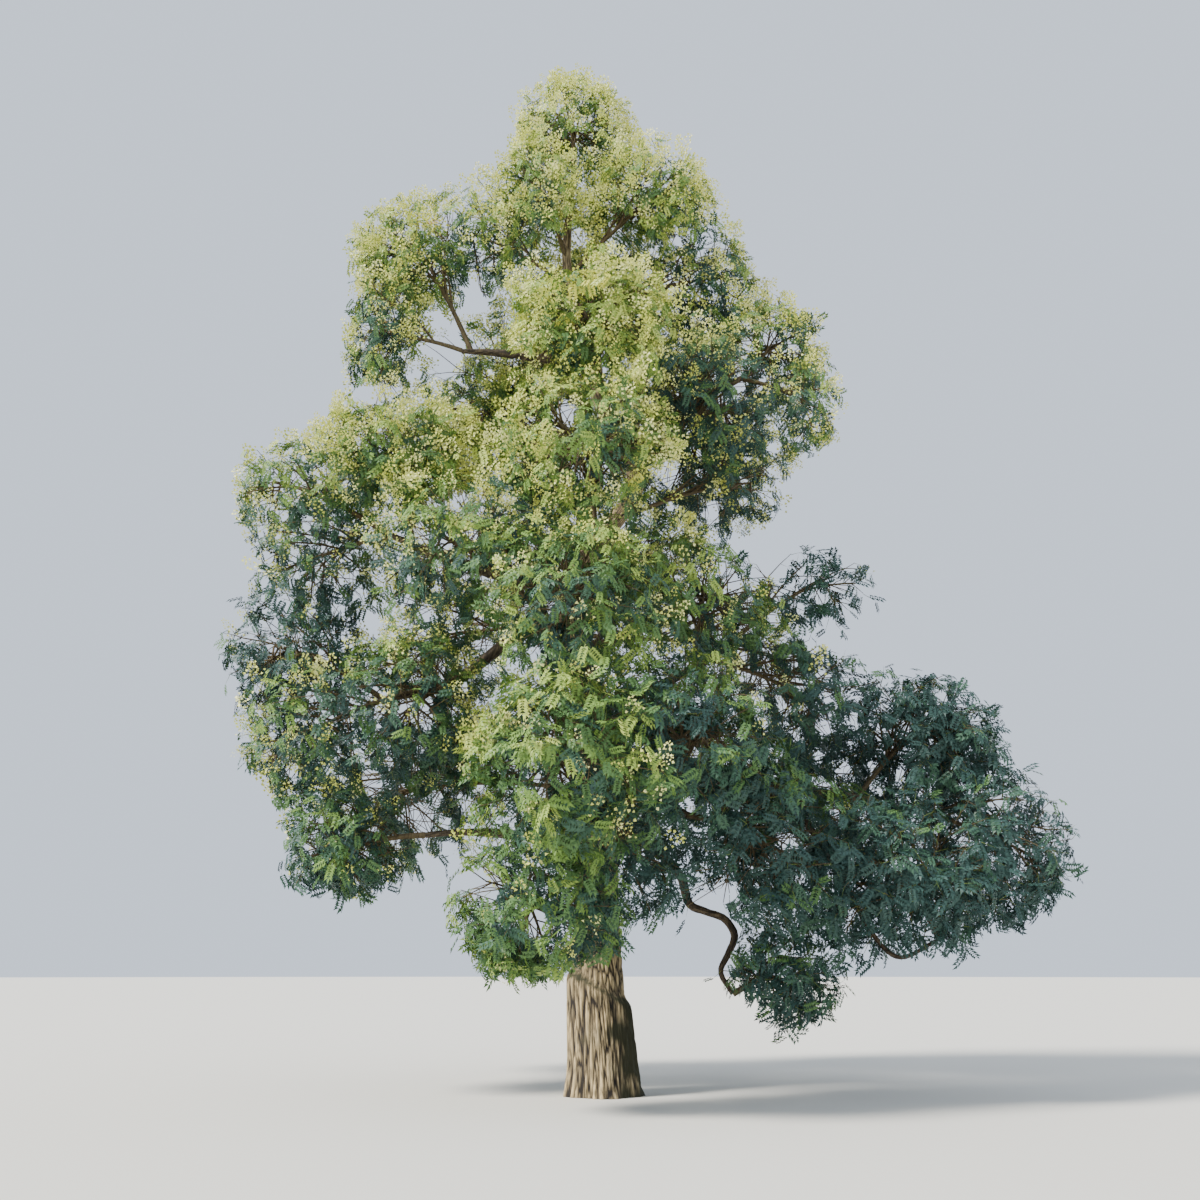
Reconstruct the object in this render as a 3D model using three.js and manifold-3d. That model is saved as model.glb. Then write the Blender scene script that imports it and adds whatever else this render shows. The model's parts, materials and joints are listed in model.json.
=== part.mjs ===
// A mature Japanese pagoda tree (Styphnolobium japonicum) in summer bloom: a stout old trunk whose
// crooked leader runs up through the crown, the main boughs, and the masses of foliage that they carry.
// Millimetres, +Z up. The origin is the middle of the flat cut at ground level. -Y is the front,
// the side that the tree is looked at from, and +X is to its right.
import * as THREE from "three";
import { mergeVertices } from "three/addons/utils/BufferGeometryUtils.js";
import Module from "manifold-3d";

const wasm = await Module();
wasm.setup();

// Trunk
const TRUNK_TOP = 14850;
const TRUNK_SIDES = 14;
const TRUNK_RINGS = 26;
const RING_CROWDING = 1.5; // rings stand closer together near the ground, where the shape changes most
// Where the trunk's heart is as it climbs: [height, to the right, to the back].
const TRUNK_WANDER = [
  [0, 0, 0],
  [2000, -75, 0],
  [4300, -60, 0],
  [7000, -520, 40],
  [9000, 520, 60],
  [10600, -100, 0],
  [13000, -600, 0],
  [TRUNK_TOP, -500, 0],
];
// The trunk's radius as it climbs: [height, radius]. The old graft is the step at 1.4 m.
const TRUNK_GIRTH = [
  [0, 490],
  [500, 468],
  [1280, 440],
  [1500, 350],
  [2700, 295],
  [4300, 265],
  [5200, 205],
  [7000, 172],
  [10600, 118],
  [13000, 72],
  [TRUNK_TOP, 34],
];
const FLARE = { reach: 80, height: 260, lobes: 5, turn: 0.9 };
const GRAFT = { height: 1400, tilt: 220, band: 700 }; // its step is higher on the left than on the right

// Boughs
const BOUGH_SIDES = 6;
const BOUGH_STEP = 520; // length of one straight piece of a bough
const WINDING_STEP = 260; // of a bough with a via
const FEWEST_PIECES = 3; // of a bough
const COLLAR_SWELL = 0.45; // how much thicker a bough is where it leaves its parent
const COLLAR_LENGTH = 320;
const JOINT_GAP = 0.3; // clearance between a bough and what carries it

// Each bough leaves its parent at a height on the trunk, or at a share of another bough's length, and
// ends at its tip. It bows up by arch, and snakes up and down by snake. Two boughs that wind more run
// through points on their way, their via. Girth is a bough's thickness at the root.
const BOUGHS = [
  { name: "bough_high_left", height: 10900, tip: [-2280, -50, 11170], arch: 60, girth: 210 },
  { name: "bough_high_right", height: 9900, tip: [2480, 150, 10920], arch: -120, girth: 200 },
  { name: "bough_left_shoulder", height: 7150, tip: [-3400, -100, 8050], arch: -140, girth: 230 },
  { name: "bough_left_low", height: 6500, tip: [-3200, -100, 5380], snake: 260, girth: 250 },
  { name: "bough_left_bottom", height: 3150, tip: [-2480, -350, 3400], arch: 150, girth: 190 },
  { name: "bough_front_mid", height: 5350, tip: [-560, -1720, 6080], arch: -60, girth: 210 },
  { name: "bough_front_low", height: 4350, tip: [-450, -2080, 4100], arch: 280, girth: 200 },
  { name: "bough_front_bottom", height: 1950, tip: [-700, -1600, 2300], arch: 110, girth: 140 },
  { name: "bough_right_arch", height: 4150, tip: [3900, -250, 3850], arch: 260, snake: 190, girth: 290 },
  {
    name: "bough_right_trail",
    parent: "bough_right_arch",
    share: 0.58,
    via: [
      [2750, -500, 3650],
      [3200, -750, 2850],
      [3500, -900, 2150],
      [3850, -1000, 1760],
    ],
    tip: [4360, -1120, 1980],
    girth: 120,
  },
  {
    name: "bough_right_low",
    height: 3450,
    via: [
      [620, -150, 3300],
      [1060, -300, 2870],
      [1180, -360, 2480],
      [1420, -410, 2360],
      [1660, -460, 2260],
      [1780, -500, 2040],
      [1670, -540, 1790],
      [1570, -570, 1570],
    ],
    tip: [1720, -600, 1300],
    girth: 170,
  },
  { name: "bough_right_front", height: 3850, tip: [1120, -1320, 3560], arch: 160, girth: 190 },
  { name: "bough_right_rise", height: 5250, tip: [1760, -100, 6120], arch: -90, girth: 210 },
  { name: "bough_back_high", height: 9400, tip: [40, 1450, 10080], arch: -60, girth: 180 },
  { name: "bough_back_mid", height: 6050, tip: [0, 2150, 7050], arch: -120, girth: 230 },
  { name: "bough_back_low", height: 3650, tip: [100, 2450, 4350], arch: 120, girth: 240 },
];
const BOUGH_TIP_SHARE = 0.42; // a bough's tip against its girth

// Foliage. Each mass has its own space, the part of the crown that its egg holds most deeply: a name,
// the limb that its stem grows from, the height there on the trunk or the share of a bough's length,
// the egg's middle and half widths, and the seed of its twigs.
const MASSES = [
  ["crown_top", "trunk", TRUNK_TOP, [-500, 0, 15540], [1020, 880, 1020], 96844],
  ["inner_left", "trunk", 12350, [-2050, 300, 13500], [580, 1000, 950], 77382],
  ["upper_left", "trunk", 12900, [-960, -600, 13740], [740, 1050, 1190], 79143],
  ["upper_right", "trunk", 12600, [900, -300, 13880], [880, 1150, 1040], 2454],
  ["right_shoulder", "trunk", 11800, [1880, 500, 12840], [750, 1200, 910], 9169],
  ["upper_front", "trunk", 10000, [-300, -1800, 10750], [1300, 1300, 1220], 78618],
  ["mid_front", "trunk", 7900, [-210, -2300, 8480], [1220, 1300, 1050], 2203],
  ["back_top", "trunk", 12200, [230, 1600, 13140], [1470, 1100, 1210], 69464],
  ["high_left", "bough_high_left", 0.93, [-3130, 200, 13220], [1260, 1100, 900], 91250],
  ["high_left_hang", "bough_high_left", 1, [-3560, -300, 11300], [630, 1000, 1080], 11782],
  ["right_high", "bough_high_right", 1, [2840, 500, 11550], [980, 1050, 760], 24788],
  ["right_tip", "bough_high_right", 0.9, [3320, -200, 10100], [600, 950, 660], 4288],
  ["right_inner", "trunk", 9000, [1710, -700, 9930], [1020, 1400, 1080], 305],
  ["right_under", "trunk", 8250, [2160, 500, 9030], [780, 1100, 640], 2506],
  ["left_tip", "bough_left_shoulder", 1, [-4980, 0, 8820], [780, 1000, 700], 83659],
  ["left_shoulder", "bough_left_shoulder", 0.82, [-3120, -600, 9110], [1360, 1450, 920], 7356],
  ["left_low_shoulder", "bough_left_shoulder", 0.91, [-4450, 400, 7750], [1000, 1300, 800], 2466],
  ["left_low_tip", "bough_left_low", 1, [-4800, 200, 6200], [1020, 1100, 920], 5390],
  ["left_hang", "bough_left_low", 0.9, [-4200, -500, 4770], [1080, 1100, 840], 8407],
  ["left_inner_low", "bough_left_low", 0.6, [-2700, -500, 5200], [1100, 1500, 1000], 11424],
  ["left_bottom", "bough_left_bottom", 1, [-3570, -400, 3160], [1010, 1100, 760], 3441],
  ["front_mid", "bough_front_mid", 1, [-320, -3000, 6100], [1100, 1100, 950], 35949],
  ["left_front", "bough_front_mid", 0.86, [-2070, -1900, 7170], [1260, 1200, 980], 87438],
  ["front_low", "bough_front_low", 1, [-550, -3400, 3950], [1180, 1200, 1080], 5492],
  ["front_bottom", "bough_front_bottom", 1, [-850, -2500, 2300], [1150, 1050, 920], 12544],
  ["trunk_right", "trunk", 2450, [220, -1600, 3100], [850, 850, 1000], 14526],
  ["right_far_top", "bough_right_arch", 0.93, [4700, 200, 4980], [1250, 1300, 1000], 84800],
  ["right_far_tip", "bough_right_arch", 1, [5730, -300, 3220], [850, 1200, 1050], 9560],
  ["right_far_low", "bough_right_trail", 1, [4020, -1200, 2740], [1250, 1200, 1200], 85472],
  ["right_droop", "bough_right_low", 1, [2250, -700, 1500], [850, 800, 870], 56358],
  ["right_low_inner", "bough_right_front", 1, [2000, -1500, 3200], [1150, 1200, 1100], 3611],
  ["right_front_low", "bough_right_front", 0.86, [1110, -2600, 4450], [1050, 1100, 1000], 7440],
  ["right_mid_low", "bough_right_rise", 0.9, [2850, -300, 5400], [1000, 1300, 800], 82972],
  ["right_arm", "bough_right_rise", 1, [3350, 300, 7300], [1080, 800, 620], 66434],
  ["right_mid", "bough_right_rise", 0.78, [1430, -1200, 6650], [1050, 1400, 940], 15035],
  ["back_high_left", "bough_back_high", 1, [-1850, 1950, 11200], [1500, 1600, 1450], 14671],
  ["back_high_right", "bough_back_high", 0.88, [1640, 2100, 10600], [1500, 1600, 1450], 56225],
  ["back_mid", "bough_back_mid", 1, [-100, 3200, 8400], [1850, 1650, 1650], 2730],
  ["back_left_mid", "bough_back_mid", 0.9, [-2660, 2300, 7000], [1120, 1700, 1400], 66858],
  ["back_right_mid", "bough_back_mid", 0.8, [2600, 2500, 6750], [1130, 1700, 1200], 12764],
  ["back_low", "bough_back_low", 1, [300, 3900, 5100], [1800, 1650, 1600], 8781],
  ["back_left_low", "bough_back_low", 0.9, [-3300, 2700, 4400], [1600, 1600, 1350], 69673],
  ["back_right_low", "bough_back_low", 0.8, [3600, 2700, 4000], [1650, 1600, 1300], 1815],
].map(([name, limb, where, middle, half, seed]) => ({
  name,
  limb,
  where,
  middle: new THREE.Vector3(...middle),
  half: new THREE.Vector3(...half),
  seed,
}));
// How far out of the crown leaves may reach: 1 is the skin of an egg that stands alone.
const CROWN_REACH = 1.06;
// Openings in the crown where the sky shows through: to the right, height and half widths of each, in
// the trunk's plane. They run through the crown along the line of sight from the eye.
const OPENINGS = [
  [-2560, 11200, 340, 360],
  [-2100, 12200, 160, 420],
  [-3650, 10450, 420, 140],
  [-3540, 6610, 130, 170],
  [-2700, 6780, 160, 80],
  [-3930, 7280, 180, 70],
  [-1900, 7330, 110, 100],
  [-2660, 5140, 140, 100],
  [-3340, 4200, 140, 200],
  [-2620, 3630, 200, 260],
  [-1730, 2750, 310, 210],
  [-880, 2200, 130, 200],
  [-650, 10070, 210, 230],
  [-330, 13350, 150, 180],
  [-2280, 14020, 100, 160],
  [2560, 7440, 240, 150],
  [1990, 7230, 150, 180],
  [1030, 8980, 190, 190],
  [1700, 8390, 140, 200],
  [2460, 5710, 330, 120],
  [2600, 3330, 170, 110],
];
const EYE = { right: -40, distance: 17050, height: 1600 };

const STEM = {
  sides: 3,
  pieces: 2,
  base: 66, // radius
  tip: 52,
  past: 0.12, // share of its length that it reaches past the mass's middle
  rise: 0.1,
};
const TWIG = {
  count: 4, // in each mass
  sides: 3,
  radius: 22,
  reach: 0.34, // how far out in its mass's egg it ends
  first: 0.5, // where on the stem the first one and the last one leave it
  last: 0.93,
  backward: 0.72, // one that heads back at the stem's root more squarely than this isn't grown
  jitter: 0.3,
  tries: 8,
};
const GOLDEN_ANGLE = Math.PI * (3 - Math.sqrt(5));
// A leaf here stands for a whole spray of feathered leaves.
const LEAF = {
  length: 1500,
  width: 0.84, // share of the length
  thickness: 48,
  widest: 0.46, // share of the length where the leaf is widest
  arch: 0.05,
  shrink: 0.9, // a leaf that doesn't fit is made this much shorter, again and again
  least: 620, // no leaf is shorter than this
  sunk: 5, // how far the root is sunk past the middle of its twig
  onward: 0.4, // how much it follows its twig, and not the way out of the egg
  droop: 0.5,
  lift: 0.1, // how much its face looks up
  jitter: 0.9, // how much a try may turn and roll it, in radians
  tries: 14,
};
// The leaves of one twig: how far along it, fanned out how much and rolled how much, in radians.
const LEAVES_ON_TWIG = [
  { along: 1, spread: 0, roll: 0.75 },
  { along: 0.7, spread: 1.05, roll: -0.6 },
  { along: 0.48, spread: -1.05, roll: 0.9 },
];
const CLEARANCE = 12; // between a leaf or twig and anything of another mass, and any limb

const BARK = new THREE.MeshStandardMaterial({ color: 0x8a7a66, roughness: 0.95, metalness: 0 });
const BOUGH_BARK = new THREE.MeshStandardMaterial({ color: 0x6f6350, roughness: 0.92, metalness: 0 });
const LEAF_GREEN = new THREE.MeshStandardMaterial({ color: 0x5d7a34, roughness: 0.6, metalness: 0 });
const BLOOM_GREEN = new THREE.MeshStandardMaterial({ color: 0xa9ae5c, roughness: 0.65, metalness: 0 });
const BLOOM_LINE = 6900; // masses whose middle is higher than this are mostly in bloom

const UP = new THREE.Vector3(0, 0, 1);
const SAME_PLACE = 0.001; // corners that are nearer than this are one
const STEEP = 0.75; // a direction that climbs more than this has no useful sideways

// Repeatable random numbers from 0 to 1.
function seeded(seed) {
  let state = seed;
  return () => {
    state = (state + 0x6d2b79f5) | 0;
    let mixed = Math.imul(state ^ (state >>> 15), 1 | state);
    mixed = (mixed + Math.imul(mixed ^ (mixed >>> 7), 61 | mixed)) ^ mixed;
    return ((mixed ^ (mixed >>> 14)) >>> 0) / 4294967296;
  };
}

// The value at a height in a table of [height, value, ...] rows, eased from row to row.
function fromTable(rows, height, column) {
  const above = rows.findIndex((row) => row[0] >= height);
  if (above < 1) return rows[above === 0 ? 0 : rows.length - 1][column];
  const [low, high] = [rows[above - 1], rows[above]];
  const share = (height - low[0]) / (high[0] - low[0]);
  return THREE.MathUtils.lerp(low[column], high[column], THREE.MathUtils.smoothstep(share, 0, 1));
}

// A closed three.js geometry as a solid. Only positions are kept, and shared corners are merged.
function solidOf(geometry) {
  const bare = geometry.clone();
  bare.deleteAttribute("normal");
  bare.deleteAttribute("uv");
  const merged = mergeVertices(bare, SAME_PLACE);
  const mesh = new wasm.Mesh({
    numProp: 3,
    vertProperties: merged.attributes.position.array,
    triVerts: new Uint32Array(merged.index.array),
  });
  return new wasm.Manifold(mesh);
}

// A solid as a three.js geometry.
function geometryOf(solid) {
  const mesh = solid.getMesh();
  const geometry = new THREE.BufferGeometry();
  geometry.setAttribute("position", new THREE.BufferAttribute(mesh.vertProperties, 3));
  geometry.setIndex(new THREE.BufferAttribute(mesh.triVerts, 1));
  geometry.computeVertexNormals();
  return geometry;
}

// The middle of the trunk at a height.
function trunkHeart(height) {
  const [right, back] = [1, 2].map((column) => fromTable(TRUNK_WANDER, height, column));
  return new THREE.Vector3(right, back, height);
}

// The trunk's radius at a height, in the direction of an angle, with the root flare's lobes.
function trunkRadius(height, angle) {
  const lobe = 0.5 + 0.5 * Math.cos(FLARE.lobes * angle + FLARE.turn);
  const flare = FLARE.reach * lobe * Math.exp(-height / FLARE.height);
  const nearGraft = Math.exp(-(((height - GRAFT.height) / GRAFT.band) ** 2));
  return fromTable(TRUNK_GIRTH, height + GRAFT.tilt * Math.cos(angle) * nearGraft, 1) + flare;
}

// The trunk: a cylinder whose level rings are moved to the heart and spread to the radius.
function trunkGeometry(grown) {
  const geometry = new THREE.CylinderGeometry(1, 1, 1, TRUNK_SIDES, TRUNK_RINGS);
  geometry.rotateX(Math.PI / 2);
  const at = geometry.attributes.position;
  for (let i = 0; i < at.count; i++) {
    const share = THREE.MathUtils.clamp(at.getZ(i) + 0.5, 0, 1);
    const height = TRUNK_TOP * share ** RING_CROWDING;
    const [x, y] = [at.getX(i), at.getY(i)];
    const angle = Math.atan2(y, x);
    const radius = Math.hypot(x, y) * (trunkRadius(height, angle) + grown);
    const heart = trunkHeart(height);
    at.setXYZ(i, heart.x + radius * Math.cos(angle), heart.y + radius * Math.sin(angle), height);
  }
  return geometry;
}

// The line down the middle of a bough that bows and snakes.
class BowedLine extends THREE.Curve {
  constructor(root, { tip, arch = 0, snake = 0 }) {
    super();
    this.root = root;
    this.tip = new THREE.Vector3(...tip);
    this.bend = (t) => 4 * arch * t * (1 - t) + snake * Math.sin(2 * Math.PI * t) * (1 - t * t);
  }
  getPoint(t, target = new THREE.Vector3()) {
    return target.lerpVectors(this.root, this.tip, t).addScaledVector(UP, this.bend(t));
  }
}

// The line down the middle of any bough.
function boughLine(root, bough) {
  if (!bough.via) return new BowedLine(root, bough);
  const points = [...bough.via, bough.tip].map((point) => new THREE.Vector3(...point));
  return new THREE.CatmullRomCurve3([root, ...points], false, "catmullrom");
}

// A limb: a cylinder whose rings are moved along a line and spread to the radius at each. Its end
// overhangs the line's end where it is to be cut out of what it carries.
function limbGeometry(line, radiusAt, sides, pieces, overhang = 0) {
  const geometry = new THREE.CylinderGeometry(1, 1, 1, sides, pieces);
  const frames = line.computeFrenetFrames(pieces);
  const at = geometry.attributes.position;
  for (let i = 0; i < at.count; i++) {
    const share = THREE.MathUtils.clamp(at.getY(i) + 0.5, 0, 1);
    const ring = Math.round(share * pieces);
    const radius = radiusAt(share);
    const point = line
      .getPointAt(share)
      .addScaledVector(frames.normals[ring], at.getX(i) * radius)
      .addScaledVector(frames.binormals[ring], -at.getZ(i) * radius)
      .addScaledVector(frames.tangents[ring], ring === pieces ? overhang : 0);
    at.setXYZ(i, point.x, point.y, point.z);
  }
  return geometry;
}

// A bough's solid, grown by a little where it is to be cut out of what it carries.
function boughSolid(bough, grown) {
  const length = bough.line.getLength();
  const base = bough.girth / 2;
  const radiusAt = (share) => {
    const collar = 1 + COLLAR_SWELL * Math.exp((-share * length) / COLLAR_LENGTH);
    return THREE.MathUtils.lerp(base, base * BOUGH_TIP_SHARE, share) * collar + grown;
  };
  const pieces = Math.max(FEWEST_PIECES, Math.round(length / (bough.via ? WINDING_STEP : BOUGH_STEP)));
  return solidOf(limbGeometry(bough.line, radiusAt, BOUGH_SIDES, pieces, grown));
}

// True if two boxes are further apart than the clearance.
function boxesApart(a, b) {
  return [0, 1, 2].some((i) => a.min[i] > b.max[i] + CLEARANCE || b.min[i] > a.max[i] + CLEARANCE);
}

// A solid with its box, which is quick to compare.
function boxed(solid) {
  return { solid, box: solid.boundingBox() };
}

// True if a piece keeps its clearance from every one of the others.
function clearOf(piece, others) {
  return others.every(
    (other) => boxesApart(piece.box, other.box) || piece.solid.minGap(other.solid, CLEARANCE) >= CLEARANCE,
  );
}

// How far out a point is in a mass's egg: 0 in its middle, 1 on its skin.
function depthIn(mass, point) {
  return point.clone().sub(mass.middle).divide(mass.half).length();
}

// True if a point stands in one of the openings.
function inOpening(point) {
  const nearer = EYE.distance / (point.y + EYE.distance);
  const right = EYE.right + (point.x - EYE.right) * nearer;
  const height = EYE.height + (point.z - EYE.height) * nearer;
  return OPENINGS.some(([x, z, halfX, halfZ]) => Math.hypot((right - x) / halfX, (height - z) / halfZ) < 1);
}

// True if a point is in the crown, and no other mass's egg holds it more deeply than its own. The pull of
// every egg fades outwards, and the pulls add up, so that the crown also fills the nooks between eggs.
function inOwnSpace(mass, point) {
  const own = depthIn(mass, point);
  const depths = MASSES.map((other) => depthIn(other, point));
  if (depths.some((depth) => depth < own)) return false;
  const pull = depths.reduce((sum, depth) => sum + Math.exp(-depth * depth), 0);
  return pull > Math.exp(-CROWN_REACH * CROWN_REACH) && !inOpening(point);
}

// A flat eight-sided leaf that lies along +X from its root at the origin, arched a little.
function leafGeometry(length, width) {
  const geometry = new THREE.OctahedronGeometry(1, 0);
  const at = geometry.attributes.position;
  for (let i = 0; i < at.count; i++) {
    const [x, y, z] = [at.getX(i), at.getY(i), at.getZ(i)];
    const along = x > 0 ? THREE.MathUtils.lerp(LEAF.widest, 1, x) : LEAF.widest * (1 + x);
    const raised = (1 - Math.abs(x)) * LEAF.arch * length;
    at.setXYZ(i, along * length, (y * width) / 2, (z * LEAF.thickness) / 2 + raised);
  }
  return geometry;
}

// The longest leaf that grows from a root in a direction, keeps to its mass's space and is longer
// than the best so far and clear of the other pieces. The best so far where there is none.
function longerLeaf(best, mass, root, direction, face, others) {
  const side = new THREE.Vector3().crossVectors(face, direction);
  const place = new THREE.Matrix4().makeBasis(direction, side, face).setPosition(root);
  const least = best ? best.length : LEAF.least;
  for (let length = LEAF.length; length > least; length *= LEAF.shrink) {
    const width = LEAF.width * length;
    const corners = [
      [length, 0, 0],
      [LEAF.widest * length, width / 2, 0],
      [LEAF.widest * length, -width / 2, 0],
    ].map((corner) => new THREE.Vector3(...corner).applyMatrix4(place));
    if (!corners.every((corner) => inOwnSpace(mass, corner))) continue;
    const leaf = boxed(solidOf(leafGeometry(length, width).applyMatrix4(place)));
    if (clearOf(leaf, others)) return { ...leaf, length };
  }
  return best;
}

// A straight three-sided twig from one point to another.
function twigSolid(from, to) {
  const corners = Array.from({ length: TWIG.sides }, (_, i) => {
    const angle = (2 * Math.PI * i) / TWIG.sides;
    return new THREE.Vector2(Math.cos(angle), Math.sin(angle)).multiplyScalar(TWIG.radius);
  });
  const options = { depth: from.distanceTo(to), bevelEnabled: false };
  const geometry = new THREE.ExtrudeGeometry(new THREE.Shape(corners), options);
  const turn = new THREE.Quaternion().setFromUnitVectors(UP, to.clone().sub(from).normalize());
  geometry.applyQuaternion(turn).translate(from.x, from.y, from.z);
  return solidOf(geometry);
}

// The first twig that fits, of some that leave a point of the stem near an even direction. It keeps to
// its mass's space, doesn't head back along the stem and stays clear of the other pieces.
function fittingTwig(mass, from, even, random, others) {
  const homeward = mass.line.getPoint(0).sub(mass.middle).normalize();
  const shift = () => (random() - 0.5) * TWIG.jitter;
  for (let i = 0; i < TWIG.tries; i++) {
    const outward = even.clone().add(new THREE.Vector3(shift(), shift(), shift()).multiplyScalar(i));
    outward.normalize();
    const to = mass.middle.clone().add(outward.clone().multiply(mass.half).multiplyScalar(TWIG.reach));
    if (outward.dot(homeward) > TWIG.backward || !inOwnSpace(mass, to)) continue;
    const twig = boxed(twigSolid(from, to));
    if (clearOf(twig, others)) return { ...twig, outward, to };
  }
  return null;
}

// The line of a mass's stem: it leaves its limb, bends up, and ends a little past the mass's middle.
function stemLine(mass, root) {
  const { middle } = mass;
  const end = middle.clone().addScaledVector(middle.clone().sub(root), STEM.past);
  const bend = root.clone().lerp(end, 0.5).addScaledVector(UP, STEM.rise * root.distanceTo(end));
  return new THREE.QuadraticBezierCurve3(root, bend, end);
}

// The twigs and leaves of one mass, each skipped if it would leave its space or touch another piece.
function growMass(mass, stem, others) {
  const random = seeded(mass.seed);
  const { half } = mass;
  const turn = random() * 2 * Math.PI;
  const grown = [];
  for (let k = 0; k < TWIG.count; k++) {
    const level = 1 - (2 * (k + 0.5)) / TWIG.count;
    const bearing = turn + k * GOLDEN_ANGLE;
    const across = Math.sqrt(1 - level * level);
    const even = new THREE.Vector3(across * Math.cos(bearing), across * Math.sin(bearing), level);
    const share = THREE.MathUtils.lerp(TWIG.first, TWIG.last, k / (TWIG.count - 1));
    const from = mass.line.getPointAt(share);
    const found = fittingTwig(mass, from, even, random, [...others, ...grown]);
    if (!found) continue;
    const { outward, to } = found;
    const neighbours = [...others, stem, ...grown];
    grown.push(found);
    const heading = to.clone().sub(from).normalize();
    for (const { along, spread, roll } of LEAVES_ON_TWIG) {
      const point = from.clone().lerp(to, along);
      let best = null;
      for (let i = 0; i < LEAF.tries; i++) {
        const direction = outward.clone().multiply(half).normalize().lerp(heading, LEAF.onward);
        direction.z -= LEAF.droop * random();
        const fan = spread + (random() - 0.5) * LEAF.jitter;
        direction.normalize().applyAxisAngle(fanAxis(direction, random), fan);
        const face = outward.clone().addScaledVector(UP, LEAF.lift - outward.z);
        face.addScaledVector(direction, -face.dot(direction)).normalize();
        face.applyAxisAngle(direction, roll + (random() - 0.5) * LEAF.jitter);
        const root = point.clone().addScaledVector(direction, -LEAF.sunk);
        best = longerLeaf(best, mass, root, direction, face, neighbours);
      }
      if (!best) continue;
      neighbours.push(best);
      grown.push(best);
    }
  }
  return grown;
}

// The axis that side leaves fan out about: upright, or any way across where the twig is steep.
function fanAxis(direction, random) {
  const level = new THREE.Vector3(-direction.y, direction.x, 0);
  const axis = UP.clone().addScaledVector(direction, -direction.z);
  if (Math.abs(direction.z) > STEEP) axis.copy(level).applyAxisAngle(direction, random() * Math.PI);
  return axis.normalize();
}

const tree = new THREE.Group();

function addPart(name, solid, material) {
  const part = new THREE.Mesh(geometryOf(solid), material);
  part.name = name;
  tree.add(part);
}

// The trunk, and the boughs, each cut clear of what carries it.
const trunk = boxed(solidOf(trunkGeometry(0)));
const trunkGrown = solidOf(trunkGeometry(JOINT_GAP));
addPart("trunk", trunk.solid, BARK);
const boughs = new Map();
for (const bough of BOUGHS) {
  const parent = boughs.get(bough.parent);
  const root = parent ? parent.line.getPointAt(bough.share) : trunkHeart(bough.height);
  bough.line = boughLine(root, bough);
  bough.solid = boughSolid(bough, 0).subtract(parent ? parent.grown : trunkGrown);
  bough.grown = boughSolid(bough, JOINT_GAP);
  boughs.set(bough.name, bough);
  addPart(bough.name, bough.solid, BOUGH_BARK);
}
const limbs = [trunk, ...BOUGHS.map((bough) => boxed(bough.solid))];

// The stems of the masses, each cut clear of the limb it grows from.
const placed = MASSES.map((mass) => {
  const bough = boughs.get(mass.limb);
  mass.line = stemLine(mass, bough ? bough.line.getPointAt(mass.where) : trunkHeart(mass.where));
  const radiusAt = (share) => THREE.MathUtils.lerp(STEM.base, STEM.tip, share);
  const whole = solidOf(limbGeometry(mass.line, radiusAt, STEM.sides, STEM.pieces));
  return { mass, pieces: [boxed(whole.subtract(bough ? bough.grown : trunkGrown))] };
});

// The masses: each stem with its own twigs and leaves fused on.
for (const { mass, pieces } of placed) {
  const others = placed.filter((entry) => entry.mass !== mass).flatMap((entry) => entry.pieces);
  pieces.push(...growMass(mass, pieces[0], [...limbs, ...others]));
  const bodies = wasm.Manifold.union(pieces.map((piece) => piece.solid)).decompose();
  const whole = bodies.sort((a, b) => b.volume() - a.volume())[0];
  const material = mass.middle.z > BLOOM_LINE ? BLOOM_GREEN : LEAF_GREEN;
  addPart(mass.name, whole, material);
}

export default tree;
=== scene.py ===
# %% [markdown]
# # A japanese pagoda tree in summer bloom
#
# The tree has an old grafted trunk, a crooked leader, sixteen boughs and a crown of feathered leaves
# with cream blossom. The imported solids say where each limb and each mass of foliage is. This script
# puts bark on the limbs and grows twigs, leaves and blossom in the masses, by the rule that the solids
# were grown by. Everything is in metres, with +Z up and the origin in the middle of the trunk's foot.

import json
import math

import bmesh
import bpy
import numpy as np
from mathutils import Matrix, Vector, noise

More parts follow.
